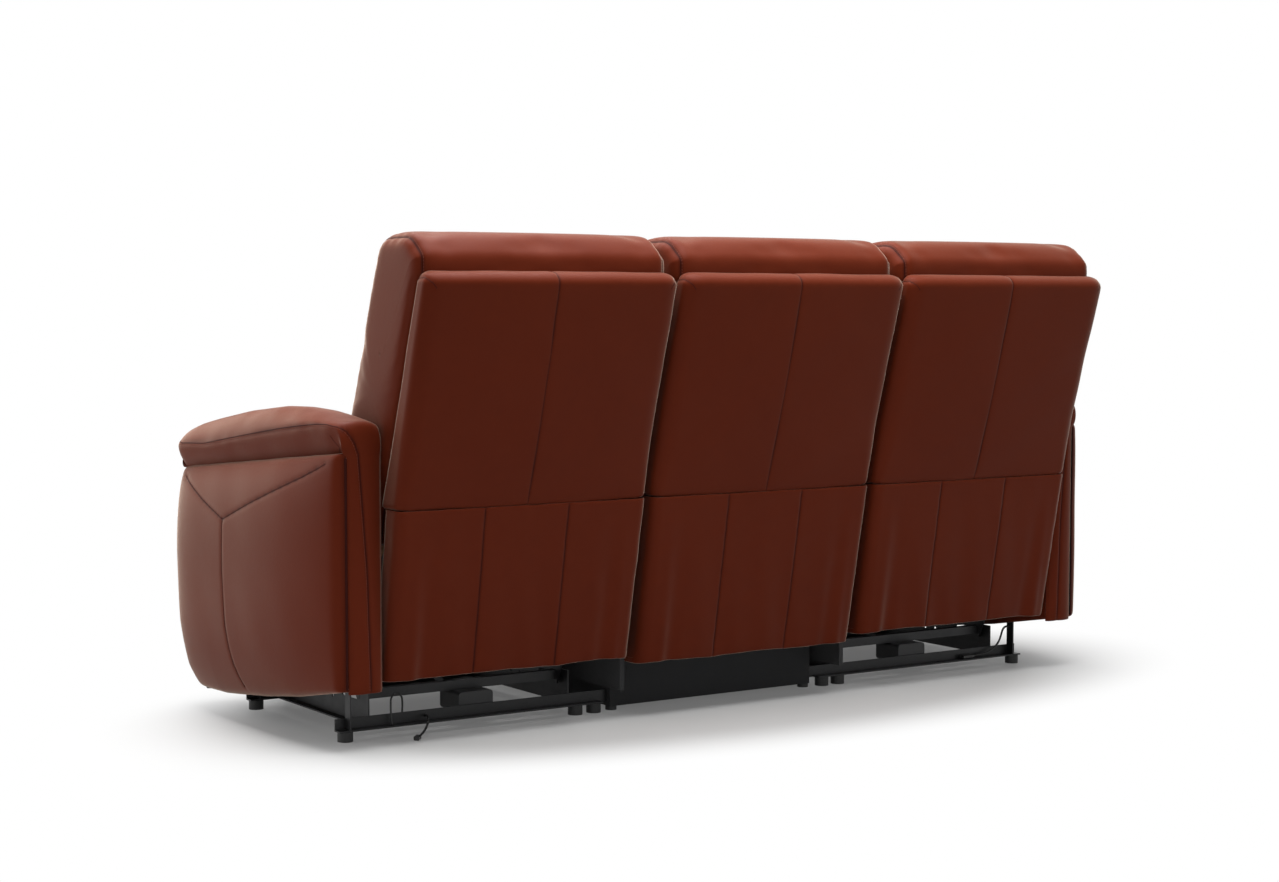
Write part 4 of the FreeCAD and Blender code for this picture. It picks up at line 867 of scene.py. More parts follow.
def plump(thing: bpy.types.Object, pinned: np.ndarray, pressure: float, slack: float, cap: float,
          frames: int = 18, calm: int = 3) -> None:
    """Fills a closed piece with air as cloth, holds its sewn points, and keeps the result.

    Args:
        thing: the closed piece.
        pinned: how firmly each point is held, 0 to 1.
        pressure: the air's pressure.
        slack: how much longer the cloth is than the form.
        cap: the furthest that a point may move, in metres.
        frames: steps of the simulation.
        calm: how often the result is evened with its neighbours.
    """
    start = places_of(thing)
    group = thing.vertex_groups.new(name="sewn")
    for weight in np.unique(np.round(pinned, 1)):
        spots = np.nonzero(np.round(pinned, 1) == weight)[0]
        if weight > 0:
            group.add(spots.tolist(), float(weight), "REPLACE")
    cloth = thing.modifiers.new("cloth", "CLOTH")
    for key, value in {**LEATHER_CLOTH, "uniform_pressure_force": pressure, "shrink_min": -slack}.items():
        setattr(cloth.settings, key, value)
    cloth.settings.effector_weights.gravity = 0.0
    cloth.collision_settings.use_collision = False
    scene = bpy.context.scene
    for step in range(1, frames + 1):
        scene.frame_set(step)
    graph = bpy.context.evaluated_depsgraph_get()
    done = thing.evaluated_get(graph)
    move = read(done.to_mesh().vertices, "co") - start
    done.to_mesh_clear()
    thing.modifiers.remove(cloth)
    scene.frame_set(1)
    ends = np.empty(len(thing.data.edges) * 2, dtype=int)
    thing.data.edges.foreach_get("vertices", ends)
    first, last = ends.reshape(-1, 2).T
    share = np.bincount(ends, minlength=len(start)).astype(float)[:, None]
    for _ in range(calm):
        total = np.zeros_like(move)
        np.add.at(total, first, move[last])
        np.add.at(total, last, move[first])
        move = 0.4 * move + 0.6 * total / share
    move *= 1.0 - 0.9 * pinned[:, None]
    size = np.linalg.norm(move, axis=1)
    move *= np.where(size > TINY, cap * np.tanh(size / cap) / np.maximum(size, TINY), 0.0)[:, None]
    reshape(thing, start + move)


# The sofa's parts, in metres

SEAT_PITCH = 0.600
PLACES = (("left", SEAT_PITCH), ("centre", 0.0), ("right", -SEAT_PITCH))
SEAM_LEVEL = 0.482
SEAM_REAR = 0.360
TOP_LEVEL = 0.947
TOP_REAR = 0.493
BACK_HALF = 0.292
HEM_LEVEL = 0.139
HEM_REAR = 0.302
CENTRE_DROP = 0.017
FLAP_TURN = 0.058
THICKNESS = 0.0016  # of the arm's leather
FLAP_THICKNESS = 0.0024
PANEL_LONG = 0.757
PANEL_HIGH = 0.500


@dataclass
class Back:
    """One back: upholstered shell, lower flap and cushion with its head roll.

    Attributes:
        name: left, centre or right.
        middle: X of its middle.
        body: the body it moves with.
        drop: how much lower its flap hangs.
        phase: shifts its small folds.
        shell_deep: the shell's depth at the seam.
        shell_thin: its depth at the top.
        roll: how far its top edge rolls over.
        corner: radius of its rear corners.
        centre_seam: X of its seam, from its middle.
        flap_seams: X of the flap's seams, from its middle.
    """

    name: str
    middle: float
    body: str
    drop: float = 0.0
    phase: int = 0
    shell_deep: float = 0.077
    shell_thin: float = 0.046
    roll: float = 0.034
    corner: float = 0.027
    centre_seam: float = 0.0
    flap_seams: tuple[float, float] = (0.096, -0.098)

    def rear_at(self, level: float) -> float:
        """Y of the shell's rear face at a height."""
        return SEAM_REAR + (level - SEAM_LEVEL) * (TOP_REAR - SEAM_REAR) / (TOP_LEVEL - SEAM_LEVEL)

    def front_at(self, level: float) -> float:
        """Y of the shell's front face at a height."""
        share = (level - SEAM_LEVEL) / (TOP_LEVEL - SEAM_LEVEL)
        return self.rear_at(level) - self.shell_deep + (self.shell_deep - self.shell_thin) * share

    def shell_ring(self, level: float, lift: float, inset: float) -> np.ndarray:
        """One level ring of the shell, from the middle of its front round to the same place."""
        rear, front = self.rear_at(level) - inset, self.front_at(level) + inset * 0.08
        half = BACK_HALF - inset * 0.9
        share = min(max((level - SEAM_LEVEL) / (TOP_LEVEL - SEAM_LEVEL), 0.0), 1.0)
        grown = min(share * 3.5, 1.0)
        radius = min(0.020 + (self.corner - 0.020) * grown, 0.45 * (rear - front))
        reach = 0.020 + 0.022 * grown
        swell = 0.0060 * math.sin(math.pi * min(share * 1.02, 1.0)) ** 0.6 + 0.0020
        corner = [(half - reach + reach * math.cos(turn), rear - radius + radius * math.sin(turn))
                  for turn in np.linspace(0, math.pi / 2, 7)]
        parts = spread(-1.0, 1.0, 0.039, (self.centre_seam / 0.28,), 0.0043)[::-1][1:-1]
        face = [(part * (half - reach), rear + swell * (1 - abs(part) ** 2.2)) for part in parts]
        lip = min(0.004, 0.2 * (rear - front))
        flank = [(half, up) for up in np.linspace(front + lip, rear - radius, 6)[:-1]]
        front_face = [(across, front) for across in np.linspace(-half + 0.004, half - 0.004, 22)]
        ring = corner + face + [(-x, y) for x, y in corner[::-1] + flank[::-1]] + front_face + flank
        return np.array([(self.middle + x, y, level + lift) for x, y in ring])

    def shell(self, shop: Workshop) -> None:
        """The upholstered rear shell with its centre seam and corner darts."""
        rows = []
        low, high = SEAM_LEVEL + 0.0006, TOP_LEVEL - 0.020
        for level in spread(low, high, 0.011):
            rows.append(self.shell_ring(level, 0.0, 0.0010 * math.exp(-(level - low) / 0.002)))
        for turn in np.linspace(12, 90, 9):
            turn = math.radians(turn)
            rows.append(self.shell_ring(high, self.roll * 0.75 * math.sin(turn), self.roll * (1 - math.cos(turn))))
        thing = skin(f"{self.name}_shell_leather", rows, True, True)
        roughen(thing, 0.0009, 0.16, 11 + self.phase, self.phase)
        top = high + self.roll * 0.75
        path = [(self.rear_at(level) + 0.006, level) for level in np.linspace(low, high - 0.012, 18)]
        path += [(TOP_REAR - 0.002, high + 0.004), (TOP_REAR - 0.016, top), (self.front_at(high) + 0.010, top)]
        centre = Seam([(self.middle + self.centre_seam, y, z) for y, z in path], 0.0020, 0.0042, (), 0.0, 0.0006)
        gusset = ((0.004, self.front_at(high) + 0.002, 0.010), (0.005, TOP_REAR - 0.026, 0.011),
                  (0.012, TOP_REAR - 0.009, 0.002), (0.020, TOP_REAR - 0.002, -0.012))
        darts = [Seam([(self.middle + sign * (BACK_HALF - inset), y, high + rise) for inset, y, rise in gusset],
                      0.0024, 0.004, (), 0.0006, 0.0007) for sign in (-1, 1)]
        shop.cover(thing, "rear", self.body, f"{self.name}_back_shell", [centre, *darts])

    def flap_point(self, along: float, share: float) -> Point:
        """A place on the flap.

        Args:
            along: from 0 at one front edge to 1 at the other.
            share: from 0 at the top to 1 at the hem.

        Returns:
            The point, before the leather's thickness.
        """
        high, low = SEAM_LEVEL - 0.0004, HEM_LEVEL - self.drop + 0.001
        level = high + (low - high) * share
        rear = SEAM_REAR + (HEM_REAR - self.drop * 0.17 - SEAM_REAR) * share + 0.0038 - 0.0014 * share
        radius, half = 0.020 + 0.008 * share, BACK_HALF - 0.0005 - 0.004 * share
        bend = radius * math.pi / 2
        run = min(along, 1.0 - along) * 2 * (FLAP_TURN - radius + bend + half - radius)
        turn = (run - FLAP_TURN + radius) / radius
        if turn < 0.0:
            x, back = half, FLAP_TURN - run
        elif turn < math.pi / 2:
            x, back = half - radius + radius * math.cos(turn), radius - radius * math.sin(turn)
        else:
            x, back = half - radius - (run - FLAP_TURN + radius - bend), 0.0
        x = math.copysign(x, 0.5 - along)
        grow = share ** 1.3
        edge = abs(x) / half
        soft = 0.0055 * math.exp(-((edge - 0.83) / 0.045) ** 2) - 0.0060 * math.exp(-((edge - 0.73) / 0.06) ** 2)
        soft += 0.0022 * math.sin(x * 31 + self.phase * 1.9) * (1 - edge ** 2)
        soft += 0.0016 * math.sin(x * 73 + 4 * share + self.phase) * (1 - edge ** 4)
        outward = 1.0 if back < radius else 0.25
        rear += soft * grow * outward
        sag = 0.0014 * math.sin(x * 23 + self.phase * 2.3) * grow - 0.004 * edge ** 8 * grow
        sag -= 0.002 * sum(math.exp(-((x - seam) / 0.02) ** 2) for seam in self.flap_seams) * grow
        return self.middle + x, rear - back, level + sag * 0.8

    def flap(self, shop: Workshop) -> None:
        """The loose lower flap with two seams, a turned hem and soft folds at its sides."""
        half = BACK_HALF - 0.0025
        width = 2 * half - 0.048
        total = 2 * 0.034 + 2 * 0.024 * math.pi / 2 + width
        marks = [0.5 - seam / total for seam in self.flap_seams]
        columns = spread(0.0, 1.0, 0.0075 / total, marks, 0.0012 / total)
        rows = []
        for share in spread(0.0, 1.0, 0.028, (), 0.0):
            rows.append(np.array([self.flap_point(along, share) for along in columns]))
        lip = rows[0] - (0.0, 0.0026, -0.0014)
        turned = rows[-1] - (0.0, 0.004, 0.0008)
        inner = rows[-1] - (0.0, 0.007, -0.012)
        thing = skin(f"{self.name}_flap_leather", [lip, *rows, turned, inner], False, False)
        roughen(thing, 0.0006, 0.07, 23 + self.phase)
        seams = []
        for mark in marks:
            path = [self.flap_point(mark, share) for share in np.linspace(0.004, 0.995, 16)]
            seams.append(Seam(path, 0.0016, 0.0038, (), 0.0005, 0.0006))
        shop.sewing.draw_in(thing, seams)
        smooth(thing, FLAP_THICKNESS)
        shop.dress(thing, "rear leather", self.body, [f"{self.name}_back_flap"], seams)

    def cushion_form(self) -> Bolster:
        """The cushion's form, from its bottom round the front and over the head roll."""
        rear_top = self.front_at(TOP_LEVEL)
        return Bolster([
            (0.090, 0.404, 0.030), (0.078, 0.500, 0.090), (0.118, 0.640, 0.200), (0.176, 0.790, 0.200),
            (0.232, 0.935, 0.120), (0.268, 1.025, 0.055), (0.395, 1.026, 0.065), (rear_top - 0.001, 0.985, 0.024),
            (rear_top - 0.0006, 0.940, 0.010), (self.front_at(0.500) - 0.0008, 0.500, 0.040), (0.262, 0.404, 0.030),
        ], 0.2885, 0.030, 0.003, 0.009)

    def cushion(self, shop: Workshop) -> None:
        """The back cushion with puckered side seams and two sewn channels across its front."""
        form = self.cushion_form()
        thing = form.build(f"{self.name}_back_pillow", self.middle)
        sides = form.side_seams(self.middle, 42.0, 0.0035, 0.0022, 0.0050, 0.0013, 0.0008)
        channels = []
        for level, depth in ((0.805, 0.012), (0.618, 0.009)):
            front = between(level, (0.500, 0.640, 0.790, 0.935), (0.080, 0.120, 0.178, 0.232))
            path = [(self.middle + across, front - 0.002, level) for across in np.linspace(-0.268, 0.268, 40)]
            channels.append(Seam(path, depth, 0.020, (), 0.0012, 0.0008))
        points = places_of(thing)
        rear = points[:, 1] > self.front_at(0.5) + (points[:, 2] - 0.5) * 0.34 - 0.022
        held = np.where(rear & (points[:, 2] < 0.93), 1.0, held_by(points, sides))
        plump(thing, held, 1.8, 0.009, 0.0045)
        shop.cover(thing, "seat", self.body, f"{self.name}_back_cushion", sides + channels)

    def build(self, shop: Workshop) -> None:
        """Builds the whole back."""
        self.shell(shop)
        self.flap(shop)
        self.cushion(shop)


@dataclass
class Seat:
    """One seat: its cushion, and the footrest or fixed panel below it.

    Attributes:
        name: left, centre or right.
        middle: X of its middle.
        body: the body its cushion moves with.
        footrest_body: the body its footrest moves with.
        footrest_node: the CAD node of the footrest or panel.
        footrest_back: how far in front of the origin the footrest's rear face lies.
    """

    name: str
    middle: float
    body: str
    footrest_body: str
    footrest_node: str
    footrest_back: float

    def cushion(self, shop: Workshop) -> None:
        """The seat cushion with a front roll, a seam behind it and side seams."""
        form = Bolster([
            (0.064, 0.388, 0.012), (0.060, 0.460, 0.025), (0.000, 0.470, 0.120), (-0.180, 0.474, 0.200),
            (-0.360, 0.476, 0.120), (-0.464, 0.468, 0.050), (-0.465, 0.356, 0.028), (-0.4325, 0.356, 0.004),
            (-0.4315, 0.3875, 0.003)], 0.2825, 0.024, 0.003, 0.009)
        thing = form.build(f"{self.name}_seat_pad", self.middle)
        sides = form.side_seams(self.middle, 45.0, 0.0035, 0.0024, 0.0055, 0.0012, 0.0008)
        cross = Seam([(self.middle + across, -0.388, 0.4765) for across in np.linspace(-0.266, 0.266, 40)],
                     0.006, 0.014, (-0.004, 0.004), 0.0010, 0.0008)
        points = places_of(thing)
        under = (points[:, 2] < 0.392) & (points[:, 1] > -0.435)
        seams = [*sides, cross]
        plump(thing, np.where(under | (points[:, 1] > 0.052), 1.0, held_by(points, seams)), 1.8, 0.009, 0.0055)
        shop.cover(thing, "seat", self.body, f"{self.name}_seat_cushion", seams)

    def footrest(self, shop: Workshop) -> None:
        """The pad below the seat, with a seam across it."""
        back = -self.footrest_back
        form = Bolster([
            (back - 0.0005, 0.082, 0.006), (back - 0.0005, 0.323, 0.006), (back - 0.020, 0.330, 0.014),
            (back - 0.058, 0.318, 0.022), (back - 0.0595, 0.088, 0.024), (back - 0.018, 0.075, 0.012)],
            0.2715, 0.018, 0.002, 0.008)
        thing = form.build(f"{self.name}_foot_pad", self.middle)
        sides = form.side_seams(self.middle, 50.0, 0.0, 0.0018, 0.0045, 0.0008, 0.0007)
        cross = Seam([(self.middle + across, back - 0.060, 0.236) for across in np.linspace(-0.262, 0.262, 36)],
                     0.005, 0.012, (0.0038,), 0.0009, 0.0008)
        points = places_of(thing)
        plump(thing, np.where(points[:, 1] > back - 0.014, 1.0, held_by(points, sides)), 1.5, 0.008, 0.004, 12)
        shop.cover(thing, "seat", self.footrest_body, self.footrest_node, [*sides, cross])

    def build(self, shop: Workshop) -> None:
        """Builds the seat's soft parts."""
        self.cushion(shop)
        self.footrest(shop)


@dataclass
class Arm:
    """One arm: the pad that turns down the rear, the bulging outer panel and the inner panels.

    Attributes:
        side: which end of the sofa.
        inner, board, bulge: X of the inner face, of the outer board and of the panel's fullest place.
        rear, nose, front: Y of the rear face, of the pad's nose and of the front face.
        under_rear, under_front: height of the pad's underside at both ends.
        low_rear: height of the band's lower end.
    """

    side: Side
    inner: float = 0.896
    board: float = 0.9853
    bulge: float = 1.043
    rear: float = 0.290
    nose: float = -0.487
    under_rear: float = 0.592
    under_front: float = 0.524
    front: float = -0.455
    low_rear: float = 0.127

    def flip(self, points: np.ndarray) -> np.ndarray:
        """Puts points of the left arm on this arm's side."""
        out = np.array(points, dtype=float)
        out[:, 0] *= self.side.value
        return out

    def under(self, y: float) -> float:
        """Height of the pad's underside."""
        share = (self.rear - y) / (self.rear - self.front)
        return self.under_rear + (self.under_front - self.under_rear) * min(share, 1.0)

    def pad_section(self, origin: tuple[float, float], way: tuple[float, float], thick: float, inner: float,
                    outer: float, lift: float, shoulder: float) -> np.ndarray:
        """One section of the pad: flat inside, full at the sides, crowned outside.

        Args:
            origin: (y, z) where the section stands on the arm.
            way: (y, z) direction away from the arm.
            thick: the pad's thickness there.
            inner: X of its inner edge.
            outer: X of its outer edge.
            lift: how far its base stands off.
            shoulder: share of the thickness at which its sides turn over.

        Returns:
            The section's points.
        """
        wide = outer - inner
        spots: list[tuple[float, float]] = []
        for share in np.linspace(0.06, 0.94, 12):
            spots.append((inner + wide * share, 0.0))
        for share in np.linspace(0.0, 1.0, 11):
            spots.append((outer - 0.019 * (1 - share) ** 2.0 - 0.0015 * share ** 6, shoulder * share))
        for share in np.linspace(0.04, 0.96, 24):
            across = 1 - share
            crown = (1 - abs(2 * across - 1) ** 2.3)
            spots.append((inner + wide * (0.02 + 0.96 * across), shoulder + (1 - shoulder) * crown ** 0.85))
        for share in np.linspace(1.0, 0.0, 11):
            height = shoulder * share
            out = 0.5 * math.sin(math.pi * min(0.10 + 0.80 * share, 1.0)) + 0.5
            spots.append((inner + 0.010 * (1 - out), height))
        rows = []
        for x, height in spots:
            off = lift + thick * height
            rows.append((x, origin[0] + way[0] * off, origin[1] + way[1] * off))
        return np.array(rows)

    def pad_rows(self) -> list[np.ndarray]:
        """The sections of the pad, from its nose over the top and down the rear."""
        rows = []
        ends = ((-0.003, 28, 0.034, 0.012), (-0.0018, 20, 0.052, 0.008), (0.001, 14, 0.066, 0.005),
                (0.006, 7, 0.0775, 0.003), (0.014, 2, 0.0860, 0.001), (0.028, 0.0, 0.0920, 0.0))
        for along, lift, thick, pull in ends:
            y = self.nose + along
            base = self.under(y)
            rows.append(self.pad_section((y, base), (0, 1), thick, self.inner + pull, 1.0090 - pull, lift / 1000,
                                         0.60))
        for y in spread(-0.430, self.rear - 0.004, 0.016):
            tall = between(y, (-0.430, -0.344, -0.183, -0.016, 0.090, 0.173, 0.236, 0.290),
                                   (0.0970, 0.1035, 0.1115, 0.1110, 0.1035, 0.0925, 0.0800, 0.0660))
            turn = between(y, (-0.46, -0.339, -0.157, 0.059, 0.241, 0.29), (0.58, 0.51, 0.55, 0.66, 0.82, 0.86))
            edge = between(y, (-0.46, -0.20, 0.10, 0.25, 0.29), (1.0085, 1.0040, 1.0000, 0.9950, 0.9880))
            rows.append(self.pad_section((y, self.under(y)), (0, 1), tall, self.inner, edge, 0.0003, turn))
        for angle in np.linspace(6, 84, 10):
            turn = math.radians(angle)
            reach = ((math.cos(turn) / 0.064) ** 3.2 + (math.sin(turn) / 0.0150) ** 3.2) ** (-1 / 3.2)
            share = angle / 90
            rows.append(self.pad_section((self.rear, self.under_rear - 0.001 * share), (math.sin(turn), math.cos(turn)),
                                         reach, self.inner, 0.9880 - 0.011 * share, 0.0004, 0.80 - 0.35 * share))
        for level in spread(self.low_rear - 0.004, self.under_rear - 0.012, 0.018)[::-1]:
            outer = between(level, (0.12, 0.36, 0.60), (0.9720, 0.9730, 0.9745))
            rows.append(self.pad_section((self.rear, level), (1, 0), 0.0160, self.inner, outer, 0.0004, 0.42))
        last = rows[-1].copy()
        last[:, 2] -= 0.003
        last[:, 1] = self.rear + 0.0004 + (last[:, 1] - self.rear) * 0.8
        rows.append(last)
        return rows

    def pad(self, shop: Workshop) -> None:
        """The arm pad with its long seam, the diagonal seam behind and the band down the rear."""
        rows = [self.flip(row) for row in self.pad_rows()]
        thing = skin(f"{self.side.word}_arm_pad_leather", rows, True, True)
        line = [(0.920, self.nose - 0.003, 0.578), (0.960, self.nose - 0.003, 0.578), (0.995, self.nose + 0.002, 0.580)]
        line += [(between(y, (-0.46, -0.20, 0.10, 0.25), (1.0085, 1.0040, 1.0000, 0.9950)), float(y),
                  between(y, (-0.46, -0.339, -0.157, 0.059, 0.241, 0.275),
                                  (0.581, 0.586, 0.610, 0.637, 0.655, 0.6545)))
                 for y in np.linspace(-0.46, 0.275, 30)]
        line += [(0.988, self.rear, 0.6520), (0.972, self.rear + 0.012, 0.6400), (0.958, self.rear + 0.015, 0.618)]
        line += [(between(z, (0.12, 0.36, 0.60), (0.9245, 0.932, 0.950)), self.rear + 0.016, float(z))
                 for z in np.linspace(0.595, 0.125, 24)]
        dart = [(0.994, self.rear - 0.026, 0.630), (0.996, self.rear - 0.012, 0.612), (0.992, self.rear + 0.002, 0.590),
                (0.984, self.rear + 0.008, 0.578)]
        long_seam = Seam(self.flip(np.array(line)), 0.0022, 0.0045, (0.0035,), 0.0009, 0.0008)
        short = Seam(self.flip(np.array(dart)), 0.0018, 0.004, (), 0.0004, 0.0006)
        inner_line = [(0.900, y, self.under(y) + 0.062) for y in np.linspace(-0.44, 0.25, 20)]
        inner_seam = Seam(self.flip(np.array(inner_line)), 0.0018, 0.004, (), 0.0006, 0.0007)
        points = places_of(thing)
        held = np.where(points[:, 1] > self.rear - 0.01, 1.0, held_by(points, [long_seam]))
        level = np.interp(points[:, 1], (self.front, self.rear), (self.under_front, self.under_rear))
        held = np.where(points[:, 2] < level + 0.004, 1.0, held)
        plump(thing, held, 1.2, 0.004, 0.0022, 12, 9)
        shop.cover(thing, "arm", "base", f"{self.side.word}_arm_pad", [long_seam, short, inner_seam])

    def panel_place(self, u: float, v: float) -> tuple[float, float]:
        """(y, z) on the outer panel: u from front to rear, v from bottom to top."""
        front = between(v, (0.0, 0.10, 0.30, 0.62, 0.88, 1.0), (-0.398, -0.442, -0.468, -0.478, -0.480, -0.478))
        y = front + (self.rear + 0.0095 - front) * u
        share = (self.rear - y) / (self.rear - self.front)
        top = self.under_rear + 0.0055 + (self.under_front - self.under_rear) * share
        low = between(y, (-0.46, -0.40, -0.255, -0.046, 0.102, 0.304), (0.040, 0.041, 0.045, 0.069, 0.090, 0.127))
        return y, low + (top - low) * v

    def panel_rise(self, u: float, v: float) -> float:
        """How far the outer panel stands off its board, 0 to 1."""
        across = min(abs(2 * u - 1), 1.0)
        front_side = u < 0.5
        a = (1 - across ** (8.0 if front_side else 2.5)) ** (0.55 if front_side else 0.85)
        up = min(max(2 * v - 1, -1.0), 1.0)
        b = (1 - abs(up) ** (3.2 if up > 0 else 2.6)) ** 0.58
        return a * b

    @staticmethod
    def edge_fall(gap: float, radius: float) -> float:
        """How far a round edge has fallen at a distance from it."""
        inside = max(radius - gap, 0.0)
        return radius - math.sqrt(max(radius ** 2 - inside ** 2, 0.0))

    def panel(self, shop: Workshop) -> None:
        """The bulging outer panel with its Y seam and painted shade along its rear edge."""
        name = self.side.word
        rise = self.bulge - self.board - 0.010
        ends = (0.0, 0.0015, 0.004, 0.008, 0.013, 0.020)
        marks = []
        for length in (PANEL_LONG, PANEL_HIGH):
            low = [end / length for end in ends]
            inside = spread(0.030 / length, 1 - 0.030 / length, 0.0065 / length)
            marks.append([*low, *inside, *[1 - end for end in low[::-1]]])
        rows = []
        for v in marks[1]:
            row = []
            for u in marks[0]:
                y, z = self.panel_place(u, v)
                drop = self.edge_fall(min(u, 1 - u) * PANEL_LONG, 0.020)
                drop += self.edge_fall(min(v, 1 - v) * PANEL_HIGH, 0.012)
                row.append((self.board + 0.008 - drop + rise * self.panel_rise(u, v), y, z))
            rows.append(self.flip(np.array(row)))
        thing = skin(f"{name}_arm_panel_leather", rows, False, False)
        roughen(thing, 0.0007, 0.20, 5)
        fork = (-0.165, 0.434)
        stem_path = [(fork[0], fork[1] - 0.003), (-0.164, 0.406), (-0.163, 0.319), (-0.155, 0.213), (-0.140, 0.143),
                     (-0.112, 0.073)]
        near_path = [fork, (-0.284, 0.466), (-0.376, 0.497), (-0.432, 0.518)]
        far_path = [fork, (-0.040, 0.475), (0.088, 0.516), (0.190, 0.552), (0.262, 0.580)]
        seams = []
        for path, rows_of in ((stem_path, (0.0028, -0.0028)), (near_path, (0.0034,)), (far_path, (-0.0034,))):
            spots = even(np.array([(1.030, y, z) for y, z in path]), 0.012)
            seams.append(Seam(self.flip(spots), 0.0019, 0.0038, rows_of, 0.0, 0.0007))
        # Painted shade: a seam that presses nothing in, only a wide darkened band and a thick dark cord along the
        # panel's rear edge, where the valley before the band lies in shade.
        rear_valley_shade = [(0.975, *self.panel_place(1.0, v)) for v in np.linspace(0.01, 0.975, 40)]
        seams.append(Seam(self.flip(np.array(rear_valley_shade)), 0.0, 0.0130, (), 0.0, 0.0024))
        tree = shop.sewing.surface(thing)
        for seam in seams:
            seam.path = [tree.find_nearest(Vector(point))[0] for point in np.asarray(seam.path)]
        shop.cover(thing, "arm", "base", f"{name}_arm_outer_panel", seams, THICKNESS)

    @staticmethod
    def open_behind(thing: bpy.types.Object, plate: bpy.types.Object) -> None:
        """Cuts the leather away behind a plate, so that the buttons have room."""
        corners = np.array([plate.matrix_world @ Vector(corner) for corner in plate.bound_box])
        low, high = corners.min(axis=0) + 0.006, corners.max(axis=0) - 0.006
        work = bmesh.new()
        work.from_mesh(thing.data)
        for axis in (1, 2):
            for edge in (low, high):
                side = Vector((0.0, 0.0, 0.0))
                side[axis] = 1.0
                parts = work.verts[:] + work.edges[:] + work.faces[:]
                bmesh.ops.bisect_plane(work, geom=parts, plane_co=Vector(edge), plane_no=side)
        inside = [face for face in work.faces
                  if all(low[axis] < face.calc_center_median()[axis] < high[axis] for axis in (1, 2))]
        bmesh.ops.delete(work, geom=inside, context="FACES")
        work.to_mesh(thing.data)
        work.free()

    def inside_place(self, u: float, v: float) -> Point:
        """A place on the padded inner face."""
        y, z = self.panel_place(u, v)
        edge = min(min(u, 1 - u) / 0.03, min(v, 1 - v) / 0.03, 1.0)
        full = math.sqrt(max(edge * (2 - edge), 0.0))
        return self.inner + 0.0092 - 0.0085 * full, min(max(y, -0.464), self.rear + 0.003), z

    def front_place(self, u: float, v: float) -> Point:
        """A place on the narrow front face."""
        edge = min(min(u, 1 - u) / 0.16, min(v, 1 - v) / 0.05, 1.0)
        full = math.sqrt(max(edge * (2 - edge), 0.0))
        x = self.inner + 0.001 + (0.986 - self.inner - 0.001) * u
        return x, self.front - 0.0070 - 0.0110 * full, 0.106 + (0.518 - 0.106) * v

    def facing(self, shop: Workshop) -> None:
        """The padded inner face and the narrow front face."""
        name = self.side.word
        for word, step, place in (("inside", 0.015, self.inside_place), ("front", 0.06, self.front_place)):
            rows = [self.flip(np.array([place(u, v) for u in spread(0.0, 1.0, step)]))
                    for v in spread(0.0, 1.0, 0.02)]
            thing = skin(f"{name}_arm_{word}_leather", rows, False, False)
            if word == "inside":
                self.open_behind(thing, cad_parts[f"{name}_switch_plate"])
            shop.cover(thing, "arm", "base", f"{name}_arm_inner_panel", (), THICKNESS)

    def build(self, shop: Workshop) -> None:
        """Builds the arm's leather."""
        self.pad(shop)
        self.panel(shop)
        self.facing(shop)


@dataclass
class Undercarriage:
    """The steel bases, mechanisms, drives and timber: CAD shapes with their finishes."""

    finishes: dict[str, tuple[str, ...]] = field(default_factory=lambda: {
        "black steel": ("cross_bars", "side_rails", "*_mechanism_plates", "*_lift_arms", "*_long_links",
                        "*_short_links", "*_control_links", "*_footrest_brackets", "*_back_brackets"),
        "dust cloth": ("centre_base_box", "*_arm_frame"),
        "frame timber": ("*_seat_frame",),
        "spring steel": ("*_seat_springs",),
        "drive plastic": ("*_actuator", "*_drive_block"),
        "foot plastic": ("floor_feet",),
        "brushed plate": ("*_switch_plate",),
        "button metal": ("*_recline_button", "*_return_button"),
        "connector": ("left_connector", "right_connector"),
        "cable sheath": ("cable_loop",),
    })

    def build(self, shop: Workshop) -> None:
        """Gives every kept CAD node its finish."""
        for finish, patterns in self.finishes.items():
            for pattern in patterns:
                names = [pattern.replace("*", side.word) for side in Side] if "*" in pattern else [pattern]
                for name in names:
                    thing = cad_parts[name]
                    thing.data.materials.clear()
                    thing.data.materials.append(shop.finishes[finish])
                    log.info("%s finished in %s", name, finish)


@dataclass
class Lead:
    """A free lead with its connector."""

    name: str
    route: tuple[Point, ...]
    length: float
    plug: str
    far_end: str = "connector"
    diameter: float = 0.005

    def build(self, shop: Workshop) -> None:
        """Makes the lead as one smooth curve through its route."""
        curve = bpy.data.curves.new(self.name + "_cable", "CURVE")
        curve.dimensions = "3D"
        spline = curve.splines.new("NURBS")
        spline.points.add(len(self.route) - 1)
        for point, place in zip(spline.points, self.route):
            point.co = (*(part / 1000 for part in place), 1.0)
        spline.order_u = 3
        spline.use_endpoint_u = True
        spline.resolution_u = 12
        curve.bevel_depth = self.diameter / 2
        curve.bevel_resolution = 4
        curve.use_fill_caps = True
        thing = placed(self.name + "_cable", curve)
        curve.materials.append(shop.finishes["cable sheath"])
        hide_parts(self.name)
        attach(thing, "base")
        start = tuple(part / 1000 for part in self.route[0])
        log.info("%s on base", thing.name)


LEADS = (
    Lead("left_lead", ((722, 149.8, 33), (724, 162, 33.5), (729, 175, 30), (738, 188, 22.5), (751, 201, 14),
                       (766, 214, 7.5), (780, 227, 6.4)), 0.1041, "left_connector"),
    Lead("right_lead", ((-903.7, 160, 92), (-890, 160.5, 93), (-880, 161, 86), (-875, 161.5, 73), (-868, 161.5, 57),
                        (-854, 161.5, 43), (-834, 161, 33), (-808, 160.5, 28.5), (-782, 160, 28.2)), 0.1506,
         "right_connector"),
)


